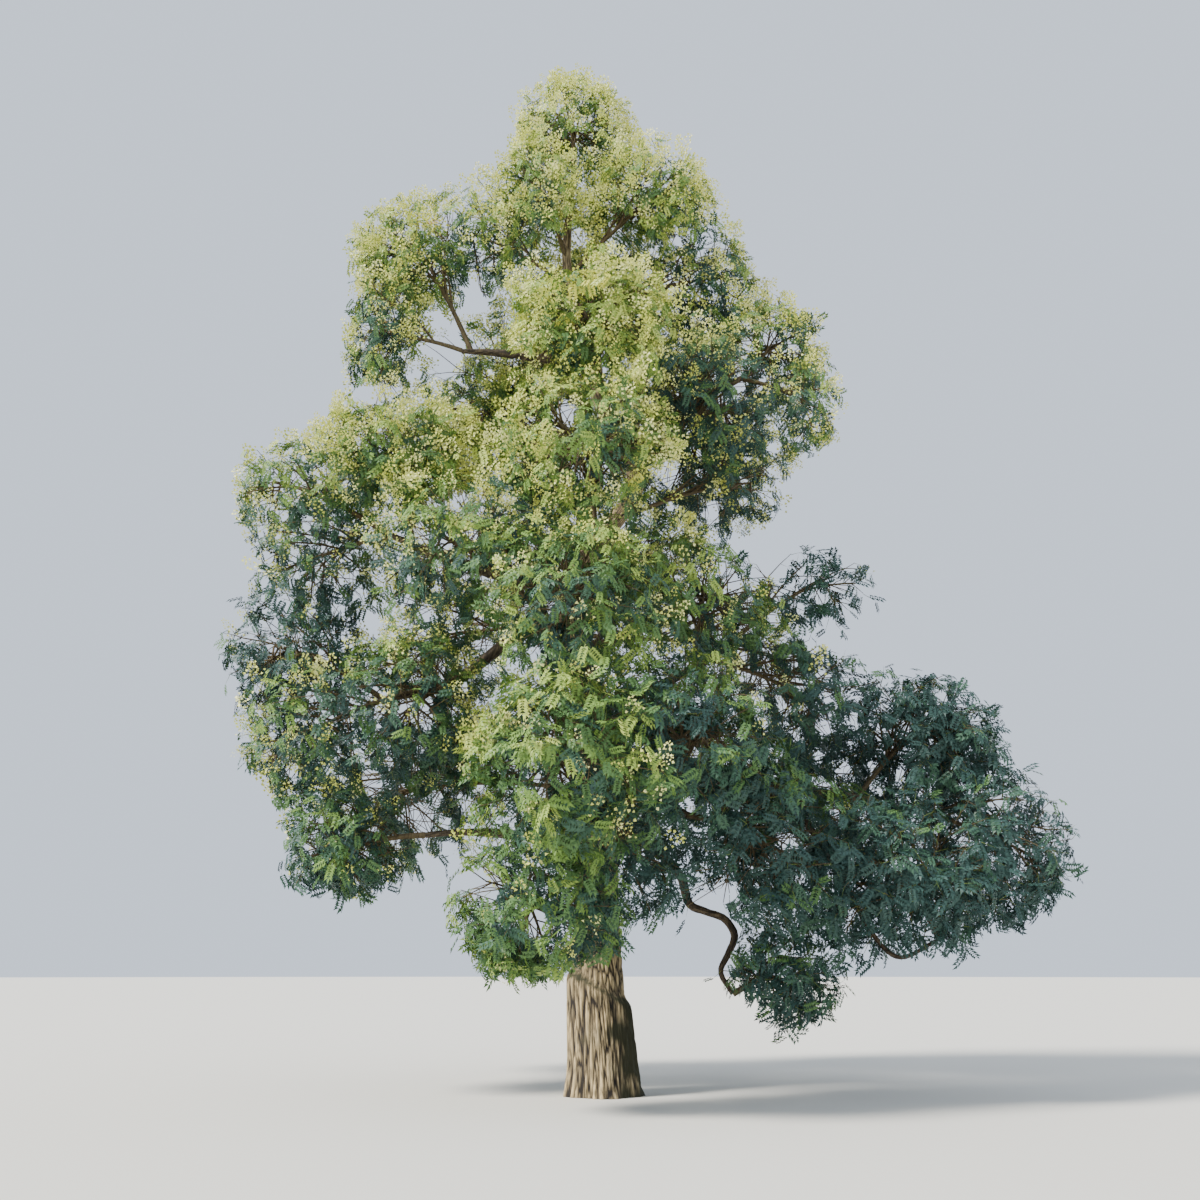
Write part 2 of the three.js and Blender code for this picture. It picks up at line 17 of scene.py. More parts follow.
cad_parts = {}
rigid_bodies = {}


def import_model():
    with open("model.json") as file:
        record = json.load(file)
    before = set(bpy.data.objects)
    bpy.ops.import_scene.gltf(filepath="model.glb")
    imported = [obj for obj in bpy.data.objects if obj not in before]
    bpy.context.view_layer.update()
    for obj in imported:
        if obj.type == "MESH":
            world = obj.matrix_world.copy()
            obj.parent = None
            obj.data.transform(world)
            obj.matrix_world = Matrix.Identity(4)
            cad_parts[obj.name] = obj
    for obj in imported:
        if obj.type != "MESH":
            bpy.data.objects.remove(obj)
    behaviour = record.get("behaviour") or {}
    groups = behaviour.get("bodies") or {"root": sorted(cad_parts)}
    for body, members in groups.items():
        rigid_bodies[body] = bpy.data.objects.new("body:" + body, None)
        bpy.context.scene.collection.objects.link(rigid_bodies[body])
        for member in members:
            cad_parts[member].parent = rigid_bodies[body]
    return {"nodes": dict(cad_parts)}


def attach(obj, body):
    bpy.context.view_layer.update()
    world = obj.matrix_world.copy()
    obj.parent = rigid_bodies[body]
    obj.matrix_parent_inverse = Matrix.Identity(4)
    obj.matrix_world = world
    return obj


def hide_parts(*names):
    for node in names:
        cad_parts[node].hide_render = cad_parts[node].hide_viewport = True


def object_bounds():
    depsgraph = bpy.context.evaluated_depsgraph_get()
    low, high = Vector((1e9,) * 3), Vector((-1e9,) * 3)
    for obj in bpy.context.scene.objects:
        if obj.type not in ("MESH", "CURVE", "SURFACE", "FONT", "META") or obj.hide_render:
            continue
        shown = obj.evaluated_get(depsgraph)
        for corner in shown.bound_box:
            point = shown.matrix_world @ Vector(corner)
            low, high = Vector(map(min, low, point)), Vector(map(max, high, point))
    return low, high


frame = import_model()
cad_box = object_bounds()
print("solids:", len(frame["nodes"]))
print("box of the solids:", [[round(x, 3) for x in corner] for corner in cad_box])

# %% [markdown]
# ## The camera
#
# The tree was looked at from 17 m away, at eye height, with the camera tipped up to take in the top.
# A camera could be aimed at a target, but here its height, its tilt and its angle of view are known,
# so they are set as they are.

# %% Camera
EYE_HEIGHT = 1.6
CAMERA_DISTANCE = 17.05
CAMERA_SIDE = -0.04
CAMERA_TILT = math.radians(17.45)
ANGLE_OF_VIEW = math.radians(54)
FARTHEST_SEEN = 900

camera_data = bpy.data.cameras.new("camera")
camera_data.angle = ANGLE_OF_VIEW
camera_data.clip_end = FARTHEST_SEEN
camera = bpy.data.objects.new("camera", camera_data)
camera.location = (CAMERA_SIDE, -CAMERA_DISTANCE, EYE_HEIGHT)
camera.rotation_euler = (math.pi / 2 + CAMERA_TILT, 0, 0)
bpy.context.scene.collection.objects.link(camera)
bpy.context.scene.camera = camera
print("camera lens:", round(camera_data.lens, 1), "mm")

# %% [markdown]
# ## Light, backdrop and floor
#
# A wide soft sun stands high on the left, as the light does in the photo, and an even pale sky fills
# the shade. The floor is one large pale disc. It isn't part of the tree, so it is staged.


# %% Sun and sky
def from_hex(code):
    """A colour such as "8a7a66" as the linear numbers that Blender reckons with."""
    shades = [int(code[i : i + 2], 16) / 255 for i in (0, 2, 4)]
    linear = [s / 12.92 if s <= 0.04045 else ((s + 0.055) / 1.055) ** 2.4 for s in shades]
    return (*linear, 1)


SUN_STRENGTH = 7.4
SUN_SOFTNESS = math.radians(14)
SUN_TURN = (math.radians(46), 0, math.radians(-62))
SUN_COLOUR = (1, 0.965, 0.9)
SKY_COLOUR = from_hex("d3deee")
SKY_STRENGTH = 1.35

sun_data = bpy.data.lights.new("soft_sun", "SUN")
sun_data.energy = SUN_STRENGTH
sun_data.angle = SUN_SOFTNESS
sun_data.color = SUN_COLOUR
sun = bpy.data.objects.new("soft_sun", sun_data)
sun.rotation_euler = SUN_TURN
bpy.context.scene.collection.objects.link(sun)

world = bpy.data.worlds.new("pale_sky")
world.use_nodes = True
background = world.node_tree.nodes["Background"]
background.inputs["Color"].default_value = SKY_COLOUR
background.inputs["Strength"].default_value = SKY_STRENGTH
bpy.context.scene.world = world
print("sun:", SUN_STRENGTH, "sky:", SKY_STRENGTH)


# %% Floor
def plain_material(name, colour, roughness):
    """A material of one plain colour."""
    material = bpy.data.materials.new(name)
    material.use_nodes = True
    shader = material.node_tree.nodes["Principled BSDF"]
    shader.inputs["Base Color"].default_value = colour
    shader.inputs["Roughness"].default_value = roughness
    return material


def new_object(name, mesh):
    """An object for a mesh, linked to the scene."""
    piece = bpy.data.objects.new(name, mesh)
    bpy.context.scene.collection.objects.link(piece)
    return piece


FLOOR_COLOUR = from_hex("d9d6cd")
FLOOR_ROUGHNESS = 0.9
FLOOR_RADIUS = 300
FLOOR_SIDES = 64

disc = bmesh.new()
bmesh.ops.create_circle(disc, cap_ends=True, segments=FLOOR_SIDES, radius=FLOOR_RADIUS)
floor_mesh = bpy.data.meshes.new("floor")
disc.to_mesh(floor_mesh)
disc.free()
floor = new_object("floor", floor_mesh)
floor_mesh.materials.append(plain_material("floor_pale", FLOOR_COLOUR, FLOOR_ROUGHNESS))
print("floor radius:", FLOOR_RADIUS, "m")

# %% [markdown]
# ## The tree's own sizes
#
# These tables say where the trunk, the boughs and the masses are. They are the solids' own tables, in
# metres, so that everything that is grown here starts at a limb and stays in its mass's space.

# %% Trunk tables
TRUNK_TOP = 14.85
# Where the trunk's heart is as it climbs: height, to the right, to the back.
TRUNK_WANDER = [
    [0, 0, 0],
    [2, -0.075, 0],
    [4.3, -0.06, 0],
    [7, -0.52, 0.04],
    [9, 0.52, 0.06],
    [10.6, -0.1, 0],
    [13, -0.6, 0],
    [TRUNK_TOP, -0.5, 0],
]
# The trunk's radius as it climbs: height, radius. The old graft is the step at 1.4 m.
TRUNK_GIRTH = [
    [0, 0.49],
    [0.5, 0.468],
    [1.28, 0.44],
    [1.5, 0.35],
    [2.7, 0.295],
    [4.3, 0.265],
    [5.2, 0.205],
    [7, 0.172],
    [10.6, 0.118],
    [13, 0.072],
    [TRUNK_TOP, 0.034],
]
FLARE = {"reach": 0.08, "height": 0.26, "lobes": 5, "turn": 0.9}
GRAFT = {"height": 1.4, "tilt": 0.22, "band": 0.7}  # its step is higher on the left than on the right

print("trunk:", TRUNK_TOP, "m tall, in", len(TRUNK_GIRTH), "rows of girth")

# %% Bough table
# Each bough leaves the trunk at a height, or another bough at a share of its length. It bows up by
# arch and snakes by snake. Two that wind more run through points on their way, their via. Girth is a
# bough's thickness at the root.
BOUGHS = {
    "bough_high_left": {"height": 10.9, "tip": (-2.28, -0.05, 11.17), "arch": 0.06, "girth": 0.21},
    "bough_high_right": {"height": 9.9, "tip": (2.48, 0.15, 10.92), "arch": -0.12, "girth": 0.2},
    "bough_left_shoulder": {"height": 7.15, "tip": (-3.4, -0.1, 8.05), "arch": -0.14, "girth": 0.23},
    "bough_left_low": {"height": 6.5, "tip": (-3.2, -0.1, 5.38), "snake": 0.26, "girth": 0.25},
    "bough_left_bottom": {"height": 3.15, "tip": (-2.48, -0.35, 3.4), "arch": 0.15, "girth": 0.19},
    "bough_front_mid": {"height": 5.35, "tip": (-0.56, -1.72, 6.08), "arch": -0.06, "girth": 0.21},
    "bough_front_low": {"height": 4.35, "tip": (-0.45, -2.08, 4.1), "arch": 0.28, "girth": 0.2},
    "bough_front_bottom": {"height": 1.95, "tip": (-0.7, -1.6, 2.3), "arch": 0.11, "girth": 0.14},
    "bough_right_arch": {
        "height": 4.15,
        "tip": (3.9, -0.25, 3.85),
        "arch": 0.26,
        "snake": 0.19,
        "girth": 0.29,
    },
    "bough_right_trail": {
        "parent": "bough_right_arch",
        "share": 0.58,
        "via": [(2.75, -0.5, 3.65), (3.2, -0.75, 2.85), (3.5, -0.9, 2.15), (3.85, -1, 1.76)],
        "tip": (4.36, -1.12, 1.98),
        "girth": 0.12,
    },
    "bough_right_low": {
        "height": 3.45,
        "via": [
            (0.62, -0.15, 3.3),
            (1.06, -0.3, 2.87),
            (1.18, -0.36, 2.48),
            (1.42, -0.41, 2.36),
            (1.66, -0.46, 2.26),
            (1.78, -0.5, 2.04),
            (1.67, -0.54, 1.79),
            (1.57, -0.57, 1.57),
        ],
        "tip": (1.72, -0.6, 1.3),
        "girth": 0.17,
    },
    "bough_right_front": {"height": 3.85, "tip": (1.12, -1.32, 3.56), "arch": 0.16, "girth": 0.19},
    "bough_right_rise": {"height": 5.25, "tip": (1.76, -0.1, 6.12), "arch": -0.09, "girth": 0.21},
    "bough_back_high": {"height": 9.4, "tip": (0.04, 1.45, 10.08), "arch": -0.06, "girth": 0.18},
    "bough_back_mid": {"height": 6.05, "tip": (0, 2.15, 7.05), "arch": -0.12, "girth": 0.23},
    "bough_back_low": {"height": 3.65, "tip": (0.1, 2.45, 4.35), "arch": 0.12, "girth": 0.24},
}
print("boughs:", len(BOUGHS))


# %% Where the trunk is
def from_table(rows, height, column):
    """The value at each height in a table of rows, eased from row to row."""
    rows = np.array(rows, float)
    levels = rows[:, 0]
    above = np.clip(np.searchsorted(levels, height), 1, len(rows) - 1)
    share = np.clip((height - levels[above - 1]) / (levels[above] - levels[above - 1]), 0, 1)
    eased = share * share * (3 - 2 * share)
    return rows[above - 1, column] + (rows[above, column] - rows[above - 1, column]) * eased


def trunk_heart(height):
    """The middle of the trunk at each height."""
    height = np.asarray(height, float)
    across = [from_table(TRUNK_WANDER, height, column) for column in (1, 2)]
    return np.stack([*across, height], axis=-1)


def trunk_radius(height, angle):
    """The trunk's radius at a height, in the direction of an angle, with the root flare's lobes."""
    lobe = 0.5 + 0.5 * np.cos(FLARE["lobes"] * angle + FLARE["turn"])
    flare = FLARE["reach"] * lobe * np.exp(-height / FLARE["height"])
    near_graft = np.exp(-(((height - GRAFT["height"]) / GRAFT["band"]) ** 2))
    return from_table(TRUNK_GIRTH, height + GRAFT["tilt"] * np.cos(angle) * near_graft, 1) + flare


print("trunk radius at 1.3 m:", round(float(trunk_radius(1.3, 0.0)), 3), "m")


# %% Where the boughs are
LINE_STEPS = 200


class Line:
    """A curve through many points, read by the share of its length."""

    def __init__(self, points):
        self.points = np.array(points)
        steps = np.linalg.norm(np.diff(self.points, axis=0), axis=1)
        self.reached = np.concatenate([[0], np.cumsum(steps)])
        self.length = self.reached[-1]

    def at(self, share):
        """The points at some shares of the length."""
        reached = np.asarray(share, float) * self.length
        axes = [np.interp(reached, self.reached, self.points[:, axis]) for axis in range(3)]
        return np.stack(axes, axis=-1)

    def heading(self, share):
        """The directions in which the curve runs there."""
        step = 0.5 / LINE_STEPS
        share = np.asarray(share, float)
        return unit(self.at(np.clip(share + step, 0, 1)) - self.at(np.clip(share - step, 0, 1)))


def unit(vectors):
    """The same vectors, one long."""
    return vectors / np.maximum(np.linalg.norm(vectors, axis=-1, keepdims=True), 1e-9)


def through(points):
    """A smooth curve through points, each stretch of it bent by the points before and after."""
    points = np.array([2 * points[0] - points[1], *points, 2 * points[-1] - points[-2]])
    t = np.linspace(0, 1, LINE_STEPS // (len(points) - 3) + 1)[:-1, None]
    stretches = []
    for before, start, end, after in zip(points, points[1:], points[2:], points[3:]):
        slope, next_slope = (end - before) / 2, (after - start) / 2
        square = 3 * (end - start) - 2 * slope - next_slope
        cube = 2 * (start - end) + slope + next_slope
        stretches.append(start + slope * t + square * t**2 + cube * t**3)
    return np.concatenate([*stretches, points[-2:-1]])


def bough_line(bough):
    """The line down the middle of a bough."""
    if "parent" in bough:
        root = LINES[bough["parent"]].at(bough["share"])
    else:
        root = trunk_heart(bough["height"])
    if "via" in bough:
        return Line(through([np.array(point) for point in (root, *bough["via"], bough["tip"])]))
    t = np.linspace(0, 1, LINE_STEPS + 1)[:, None]
    bend = 4 * bough.get("arch", 0) * t * (1 - t)
    bend += bough.get("snake", 0) * np.sin(2 * np.pi * t) * (1 - t * t)
    return Line(root + (np.array(bough["tip"]) - root) * t + bend * [0, 0, 1])


LINES = {}
for bough_name, bough in BOUGHS.items():
    LINES[bough_name] = bough_line(bough)
print("bough lengths:", {name: round(line.length, 1) for name, line in LINES.items()})

# %% [markdown]
# ## Bark
#
# The old stock is covered with long upright ridges, about 5 cm apart, with dark furrows between them.
# Higher up and on the boughs the plates are shorter and flatter. A bump in the material alone would
# look smooth at the outline, so the furrows are pressed into the mesh. Voronoi cells, drawn out along
# the limb, split and join as bark does. How high each spot lies is kept as an attribute of the mesh,
# and the material reads it to colour ridges pale and furrows dark. Shade painted on the stock's right
# flank, and a dark band along the step of the graft, are kept in the same way.

# %% Bark plates
PLATE_EDGE = 0.42  # share of a plate where it slopes down to its furrow
PLATE_WANDER = 0.35  # how far plates stray from straight rows
WANDER_SCALE = 0.7
SEED = 2026

noise.seed_set(SEED)  # without it the plates would stray in another way each run


def bark_plates(around, along, radius, width, stretch):
    """How high each spot of a limb's bark lies: 1 on a plate and 0 in the furrow beside it."""
    heights = np.empty(len(around))
    reach = radius / width
    for i, (angle, length) in enumerate(zip(around, along)):
        spot = Vector((math.cos(angle) * reach, math.sin(angle) * reach, length / (width * stretch)))
        spot += PLATE_WANDER * noise.noise_vector(spot * WANDER_SCALE)
        near, next_near = noise.voronoi(spot)[0][:2]
        heights[i] = min(1, (next_near - near) / PLATE_EDGE)
    return heights * heights * (3 - 2 * heights)


patch = bark_plates(np.linspace(0, 6, 900), np.linspace(0, 1, 900), 0.5, 0.05, 12)
print("share of the bark that is ridge:", round(float((patch > 0.5).mean()), 2))


# %% Tubes
def unit_tube(name, segments, rings):
    """A closed upright cylinder, one wide and one tall, cut into rings."""
    shape = bmesh.new()
    bmesh.ops.create_cone(shape, cap_ends=True, segments=segments, radius1=1, radius2=1, depth=1)
    upright = [e for e in shape.edges if abs(e.verts[0].co.z - e.verts[1].co.z) > 0.5]
    bmesh.ops.subdivide_edges(shape, edges=upright, cuts=rings - 1)
    for face in shape.faces:
        face.smooth = len(face.verts) == 4
    mesh = bpy.data.meshes.new(name)
    shape.to_mesh(mesh)
    shape.free()
    return mesh


def tube_places(mesh):
    """The angle round the tube, the share along it and the distance from its axis of each corner."""
    spots = np.empty(len(mesh.vertices) * 3, np.float32)
    mesh.vertices.foreach_get("co", spots)
    x, y, z = spots.reshape(-1, 3).T.astype(float)
    return np.arctan2(y, x), np.clip(z + 0.5, 0, 1), np.hypot(x, y)


def finish_bark(mesh, points, plates, shade_and_graft_band=None):
    """Moves a tube's corners to their places and keeps its bark's height, and its painted shade and graft
    band.
    """
    mesh.vertices.foreach_set("co", points.astype(np.float32).ravel())
    for name, values in (("ridge", plates), ("shade_and_graft_band", plates * 0 if shade_and_graft_band is None else shade_and_graft_band)):
        kept = mesh.attributes.new(name, "FLOAT", "POINT")
        kept.data.foreach_set("value", values.astype(np.float32))
    mesh.update()


TRUNK_SIDES = 190
TRUNK_RINGS = 200

trunk_mesh = unit_tube("bark_trunk", TRUNK_SIDES, TRUNK_RINGS)
print("corners of the trunk:", len(trunk_mesh.vertices))

# %% The trunk's mesh
RING_CROWDING = 1.5  # rings are closer together near the ground
# Plates are laid out on a limb of this radius, then drawn out along it.
STOCK_PLATE = {"radius": 0.5, "width": 0.052, "stretch": 12, "depth": 0.03}
STEM_PLATE = {"radius": 0.3, "width": 0.045, "stretch": 5, "depth": 0.018}
BARK_CHANGE = 0.3  # height over which the stock's bark gives way to the stem's
FULL_FURROW = 0.25  # trunk radius under which furrows get shallower
RIDGE_PROUD = 0.003

angle, share, spread = tube_places(trunk_mesh)
height = TRUNK_TOP * share**RING_CROWDING
radius = trunk_radius(height, angle)
stock, stem = (
    bark_plates(angle, height, plate["radius"], plate["width"], plate["stretch"])
    for plate in (STOCK_PLATE, STEM_PLATE)
)
graft = GRAFT["height"] - GRAFT["tilt"] * np.cos(angle)
above_graft = np.clip((height - graft) / BARK_CHANGE + 0.5, 0, 1)
plates = stock + (stem - stock) * above_graft
furrow = STOCK_PLATE["depth"] + (STEM_PLATE["depth"] - STOCK_PLATE["depth"]) * above_graft
furrow *= np.minimum(1, radius / FULL_FURROW)
radius = spread * (radius + RIDGE_PROUD - furrow * (1 - plates))
points = trunk_heart(height)
points[:, 0] += radius * np.cos(angle)
points[:, 1] += radius * np.sin(angle)
points[:, 2] = np.where(share == 0, 0, height)
print("deepest furrow:", round(float((furrow * (1 - plates)).max()), 3), "m")

# %% Painted shade and the graft's dark band on the trunk
# Shade painted into the bark: the stock's right flank, which the sun leaves in shade, is darkened up to
# just over the graft. A dark band also runs just under the graft's step, and ragged noise frays both
# edges.
SHADED_FLANK = {"angle": -0.25, "spread": 0.85, "over_graft": 0.1, "fades": 0.3}
GRAFT_BAND = {"under_graft": 0.04, "height": 0.06, "share": 0.8}
SHADE_AND_BAND_EDGE = {"ragged": 0.6, "scale": 3.5, "least": 0.42, "fades": 0.3}

flank = np.exp(-(((angle - SHADED_FLANK["angle"]) / SHADED_FLANK["spread"]) ** 2))
flank *= np.clip((graft + SHADED_FLANK["over_graft"] - height) / SHADED_FLANK["fades"], 0, 1)
collar = np.exp(-(((height - graft + GRAFT_BAND["under_graft"]) / GRAFT_BAND["height"]) ** 2))
ragged = np.array([noise.noise(Vector(p) * SHADE_AND_BAND_EDGE["scale"]) for p in points])
shade_and_graft_band = flank + GRAFT_BAND["share"] * collar + SHADE_AND_BAND_EDGE["ragged"] * ragged
shade_and_graft_band = np.clip((shade_and_graft_band - SHADE_AND_BAND_EDGE["least"]) / SHADE_AND_BAND_EDGE["fades"], 0, 1)
finish_bark(trunk_mesh, points, plates, shade_and_graft_band)
trunk = new_object("bark_trunk", trunk_mesh)
# The printed share counts the painted shade and the graft's dark band.
print("trunk faces:", len(trunk_mesh.polygons), "share with moss:", round(float(shade_and_graft_band.mean()), 2))

# %% The boughs' meshes
BOUGH_SIDES = 20
BOUGH_RING_STEP = 0.06
BOUGH_TIP_SHARE = 0.42  # a bough's thickness at the tip, as a share of its girth
COLLAR_SWELL = 0.45
COLLAR_LENGTH = 0.32
# The depth is a share of the radius, and each bough's plates are shifted by apart times its radius.
BOUGH_PLATE = {"width": 0.05, "stretch": 3.5, "depth": 0.1, "apart": 70}
# How much a bough's radius swells and shrinks along its length, and how often in a metre.
KNOTS = {"swell": 0.16, "often": 1.7, "apart": 90}

boughs = {}
for bough_name, line in LINES.items():
    rings = round(line.length / BOUGH_RING_STEP)
    mesh = unit_tube("bark_" + bough_name, BOUGH_SIDES, rings)
    angle, share, spread = tube_places(mesh)
    base = BOUGHS[bough_name]["girth"] / 2
    collar = 1 + COLLAR_SWELL * np.exp(-share * line.length / COLLAR_LENGTH)
    radius = base * (1 + (BOUGH_TIP_SHARE - 1) * share) * collar
    spots = [Vector((s * line.length * KNOTS["often"], base * KNOTS["apart"], 0)) for s in share]
    knots = np.array([noise.noise(spot) for spot in spots])
    along = share * line.length + base * BOUGH_PLATE["apart"]
    plates = bark_plates(angle, along, base, BOUGH_PLATE["width"], BOUGH_PLATE["stretch"])
    radius *= spread * (1 + KNOTS["swell"] * knots - BOUGH_PLATE["depth"] * (1 - plates))
    ahead = line.heading(share)
    least = np.argmin(np.abs(line.at(1) - line.at(0)))  # the axis that the bough runs along least
    side = unit(np.cross(np.eye(3)[least], ahead))
    over = np.cross(ahead, side)
    points = line.at(share) + (radius * np.cos(angle))[:, None] * side
    points += (radius * np.sin(angle))[:, None] * over
    finish_bark(mesh, points, plates)
    boughs[bough_name] = new_object("bark_" + bough_name, mesh)
print("bough faces:", sum(len(piece.data.polygons) for piece in boughs.values()))

# %% [markdown]
# ## The bark's finish
#
# Trunk, boughs and twigs share one effect: pale ridges, dark furrows, patches of grey and a fine
# upright grain. Three separate materials could each hold all of its nodes. A node group holds them
# once, and each material gives it its own colours.


# %% Sockets of the bark group
def group_socket(group, name, direction, kind, value=None):
    """A named input or output of a node group."""
    socket = group.interface.new_socket(name=name, in_out=direction, socket_type=kind)
    if value is not None:
        socket.default_value = value
    return socket


BARK_SOCKETS = [
    ("Ridge", "INPUT", "NodeSocketFloat", 1.0),
    ("Ridge Colour", "INPUT", "NodeSocketColor"),
    ("Furrow Colour", "INPUT", "NodeSocketColor"),
    ("Patch Colour", "INPUT", "NodeSocketColor"),
    # The shade painted on the trunk and the graft's band come in as a mask and a dark colour.
    ("Moss", "INPUT", "NodeSocketFloat", 0.0),
    ("Moss Colour", "INPUT", "NodeSocketColor"),
    ("Colour", "OUTPUT", "NodeSocketColor"),
    ("Roughness", "OUTPUT", "NodeSocketFloat"),
    ("Height", "OUTPUT", "NodeSocketFloat"),
]

bark_surface = bpy.data.node_groups.new("bark_surface", "ShaderNodeTree")
for socket in BARK_SOCKETS:
    group_socket(bark_surface, *socket)
print("bark group sockets:", len(BARK_SOCKETS))


# %% Nodes of the bark group
def noise_node(nodes, links, vector, scale, detail):
    """A noise texture on the given coordinates."""
    texture = nodes.new("ShaderNodeTexNoise")
    texture.inputs["Scale"].default_value = scale
    texture.inputs["Detail"].default_value = detail
    links.new(vector, texture.inputs["Vector"])
    return texture


def mix_colour(nodes, links, share, first, second):
    """A mix of two colours."""
    mix = nodes.new("ShaderNodeMix")
    mix.data_type = "RGBA"
    links.new(share, mix.inputs["Factor"])
    links.new(first, mix.inputs["A"])
    links.new(second, mix.inputs["B"])
    return mix.outputs["Result"]


def stretch_range(nodes, links, value, low, high, to_low=0, to_high=1):
    """A value's range, stretched to another range."""
    stretch = nodes.new("ShaderNodeMapRange")
    stretch.inputs["From Min"].default_value = low
    stretch.inputs["From Max"].default_value = high
    stretch.inputs["To Min"].default_value = to_low
    stretch.inputs["To Max"].default_value = to_high
    links.new(value, stretch.inputs["Value"])
    return stretch.outputs["Result"]


GRAIN = {"scale": 55, "detail": 5, "upright": 0.12}  # a small upright scale draws it out upwards
PATCHES = {"scale": 2.6, "detail": 4}
# Each range says from where to where a value goes, and what that becomes.
RIDGE_RANGE = (0.05, 0.95)
PATCH_RANGE = (0.48, 0.68, 0, 0.7)
DARK_GRAIN_RANGE = (0.32, 0.58, 0.75, 0)
ROUGHNESS_RANGE = (0.2, 0.8, 0.98, 0.78)

nodes, links = bark_surface.nodes, bark_surface.links
inputs = nodes.new("NodeGroupInput")
outputs = nodes.new("NodeGroupOutput")
place = nodes.new("ShaderNodeTexCoord").outputs["Object"]
upright = nodes.new("ShaderNodeMapping")
upright.inputs["Scale"].default_value = (1, 1, GRAIN["upright"])
links.new(place, upright.inputs["Vector"])
grain = noise_node(nodes, links, upright.outputs["Vector"], GRAIN["scale"], GRAIN["detail"])
grain = grain.outputs["Fac"]
patches = noise_node(nodes, links, place, PATCHES["scale"], PATCHES["detail"]).outputs["Fac"]
depth = stretch_range(nodes, links, inputs.outputs["Ridge"], *RIDGE_RANGE)
furrow_colour, ridge_colour = inputs.outputs["Furrow Colour"], inputs.outputs["Ridge Colour"]
colour = mix_colour(nodes, links, depth, furrow_colour, ridge_colour)
patch_share = stretch_range(nodes, links, patches, *PATCH_RANGE)
ridge_patch = nodes.new("ShaderNodeMath")
ridge_patch.operation = "MULTIPLY"
links.new(patch_share, ridge_patch.inputs[0])
links.new(depth, ridge_patch.inputs[1])
colour = mix_colour(nodes, links, ridge_patch.outputs["Value"], colour, inputs.outputs["Patch Colour"])
dark_grain = stretch_range(nodes, links, grain, *DARK_GRAIN_RANGE)
colour = mix_colour(nodes, links, dark_grain, colour, furrow_colour)
# Painted shade: the mask darkens the bark on the stock's shaded flank and along the graft's band.
colour = mix_colour(nodes, links, inputs.outputs["Moss"], colour, inputs.outputs["Moss Colour"])
links.new(colour, outputs.inputs["Colour"])
links.new(stretch_range(nodes, links, grain, *ROUGHNESS_RANGE), outputs.inputs["Roughness"])
links.new(grain, outputs.inputs["Height"])
print("bark surface nodes:", len(nodes))


# %% Bark materials
# The dark colour of the shade painted on the stock's flank, which the graft's band also uses.
SHADE_AND_GRAFT_BAND_COLOUR = "33331f"
RELIEF_DEPTH = 0.01


def bark_material(name, ridge, furrow, patch, bump, from_mesh=True):
    """Bark with its own colours for ridges, furrows and patches."""
    material = bpy.data.materials.new(name)
    material.use_nodes = True
    nodes, links = material.node_tree.nodes, material.node_tree.links
    shader = nodes["Principled BSDF"]
    surface = nodes.new("ShaderNodeGroup")
    surface.node_tree = bark_surface
    colours = {"Ridge": ridge, "Furrow": furrow, "Patch": patch, "Moss": SHADE_AND_GRAFT_BAND_COLOUR}
    for kind, code in colours.items():
        surface.inputs[kind + " Colour"].default_value = from_hex(code)
    if from_mesh:
        # The mesh's ridge heights are read here, along with where shade is painted.
        for kept, socket in (("ridge", "Ridge"), ("shade_and_graft_band", "Moss")):
            attribute = nodes.new("ShaderNodeAttribute")
            attribute.attribute_name = kept
            links.new(attribute.outputs["Fac"], surface.inputs[socket])
    relief = nodes.new("ShaderNodeBump")
    relief.inputs["Strength"].default_value = bump
    relief.inputs["Distance"].default_value = RELIEF_DEPTH
    links.new(surface.outputs["Height"], relief.inputs["Height"])
    links.new(surface.outputs["Colour"], shader.inputs["Base Color"])
    links.new(surface.outputs["Roughness"], shader.inputs["Roughness"])
    links.new(relief.outputs["Normal"], shader.inputs["Normal"])
    return material


trunk_bark = bark_material("trunk_bark", "cbb487", "1e1710", "968a6c", 1.0)
bough_bark = bark_material("bough_bark", "6d5e48", "2b231a", "575044", 0.6)
twig_bark = bark_material("twig_bark", "6a5c40", "3a3020", "5c5238", 0.3, from_mesh=False)

trunk_mesh.materials.append(trunk_bark)
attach(trunk, "root")
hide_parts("trunk")
for bough_name, piece in boughs.items():
    piece.data.materials.append(bough_bark)
    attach(piece, "root")
    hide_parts(bough_name)
print("limbs with bark:", 1 + len(boughs))

# %% [markdown]
# ## The masses of foliage
#
# Each mass is an egg, told by its middle and its half widths. Beside its place it has a share of
# sprays in bloom, a tint, from 0 for the deep bluish green of the shade to 1 for the yellowish green
# of leaves in the sun, and the share of its outline that the sky shows through. Each mass could be
# an object of its own, but there are 43, so the masses of a part of the crown are joined.

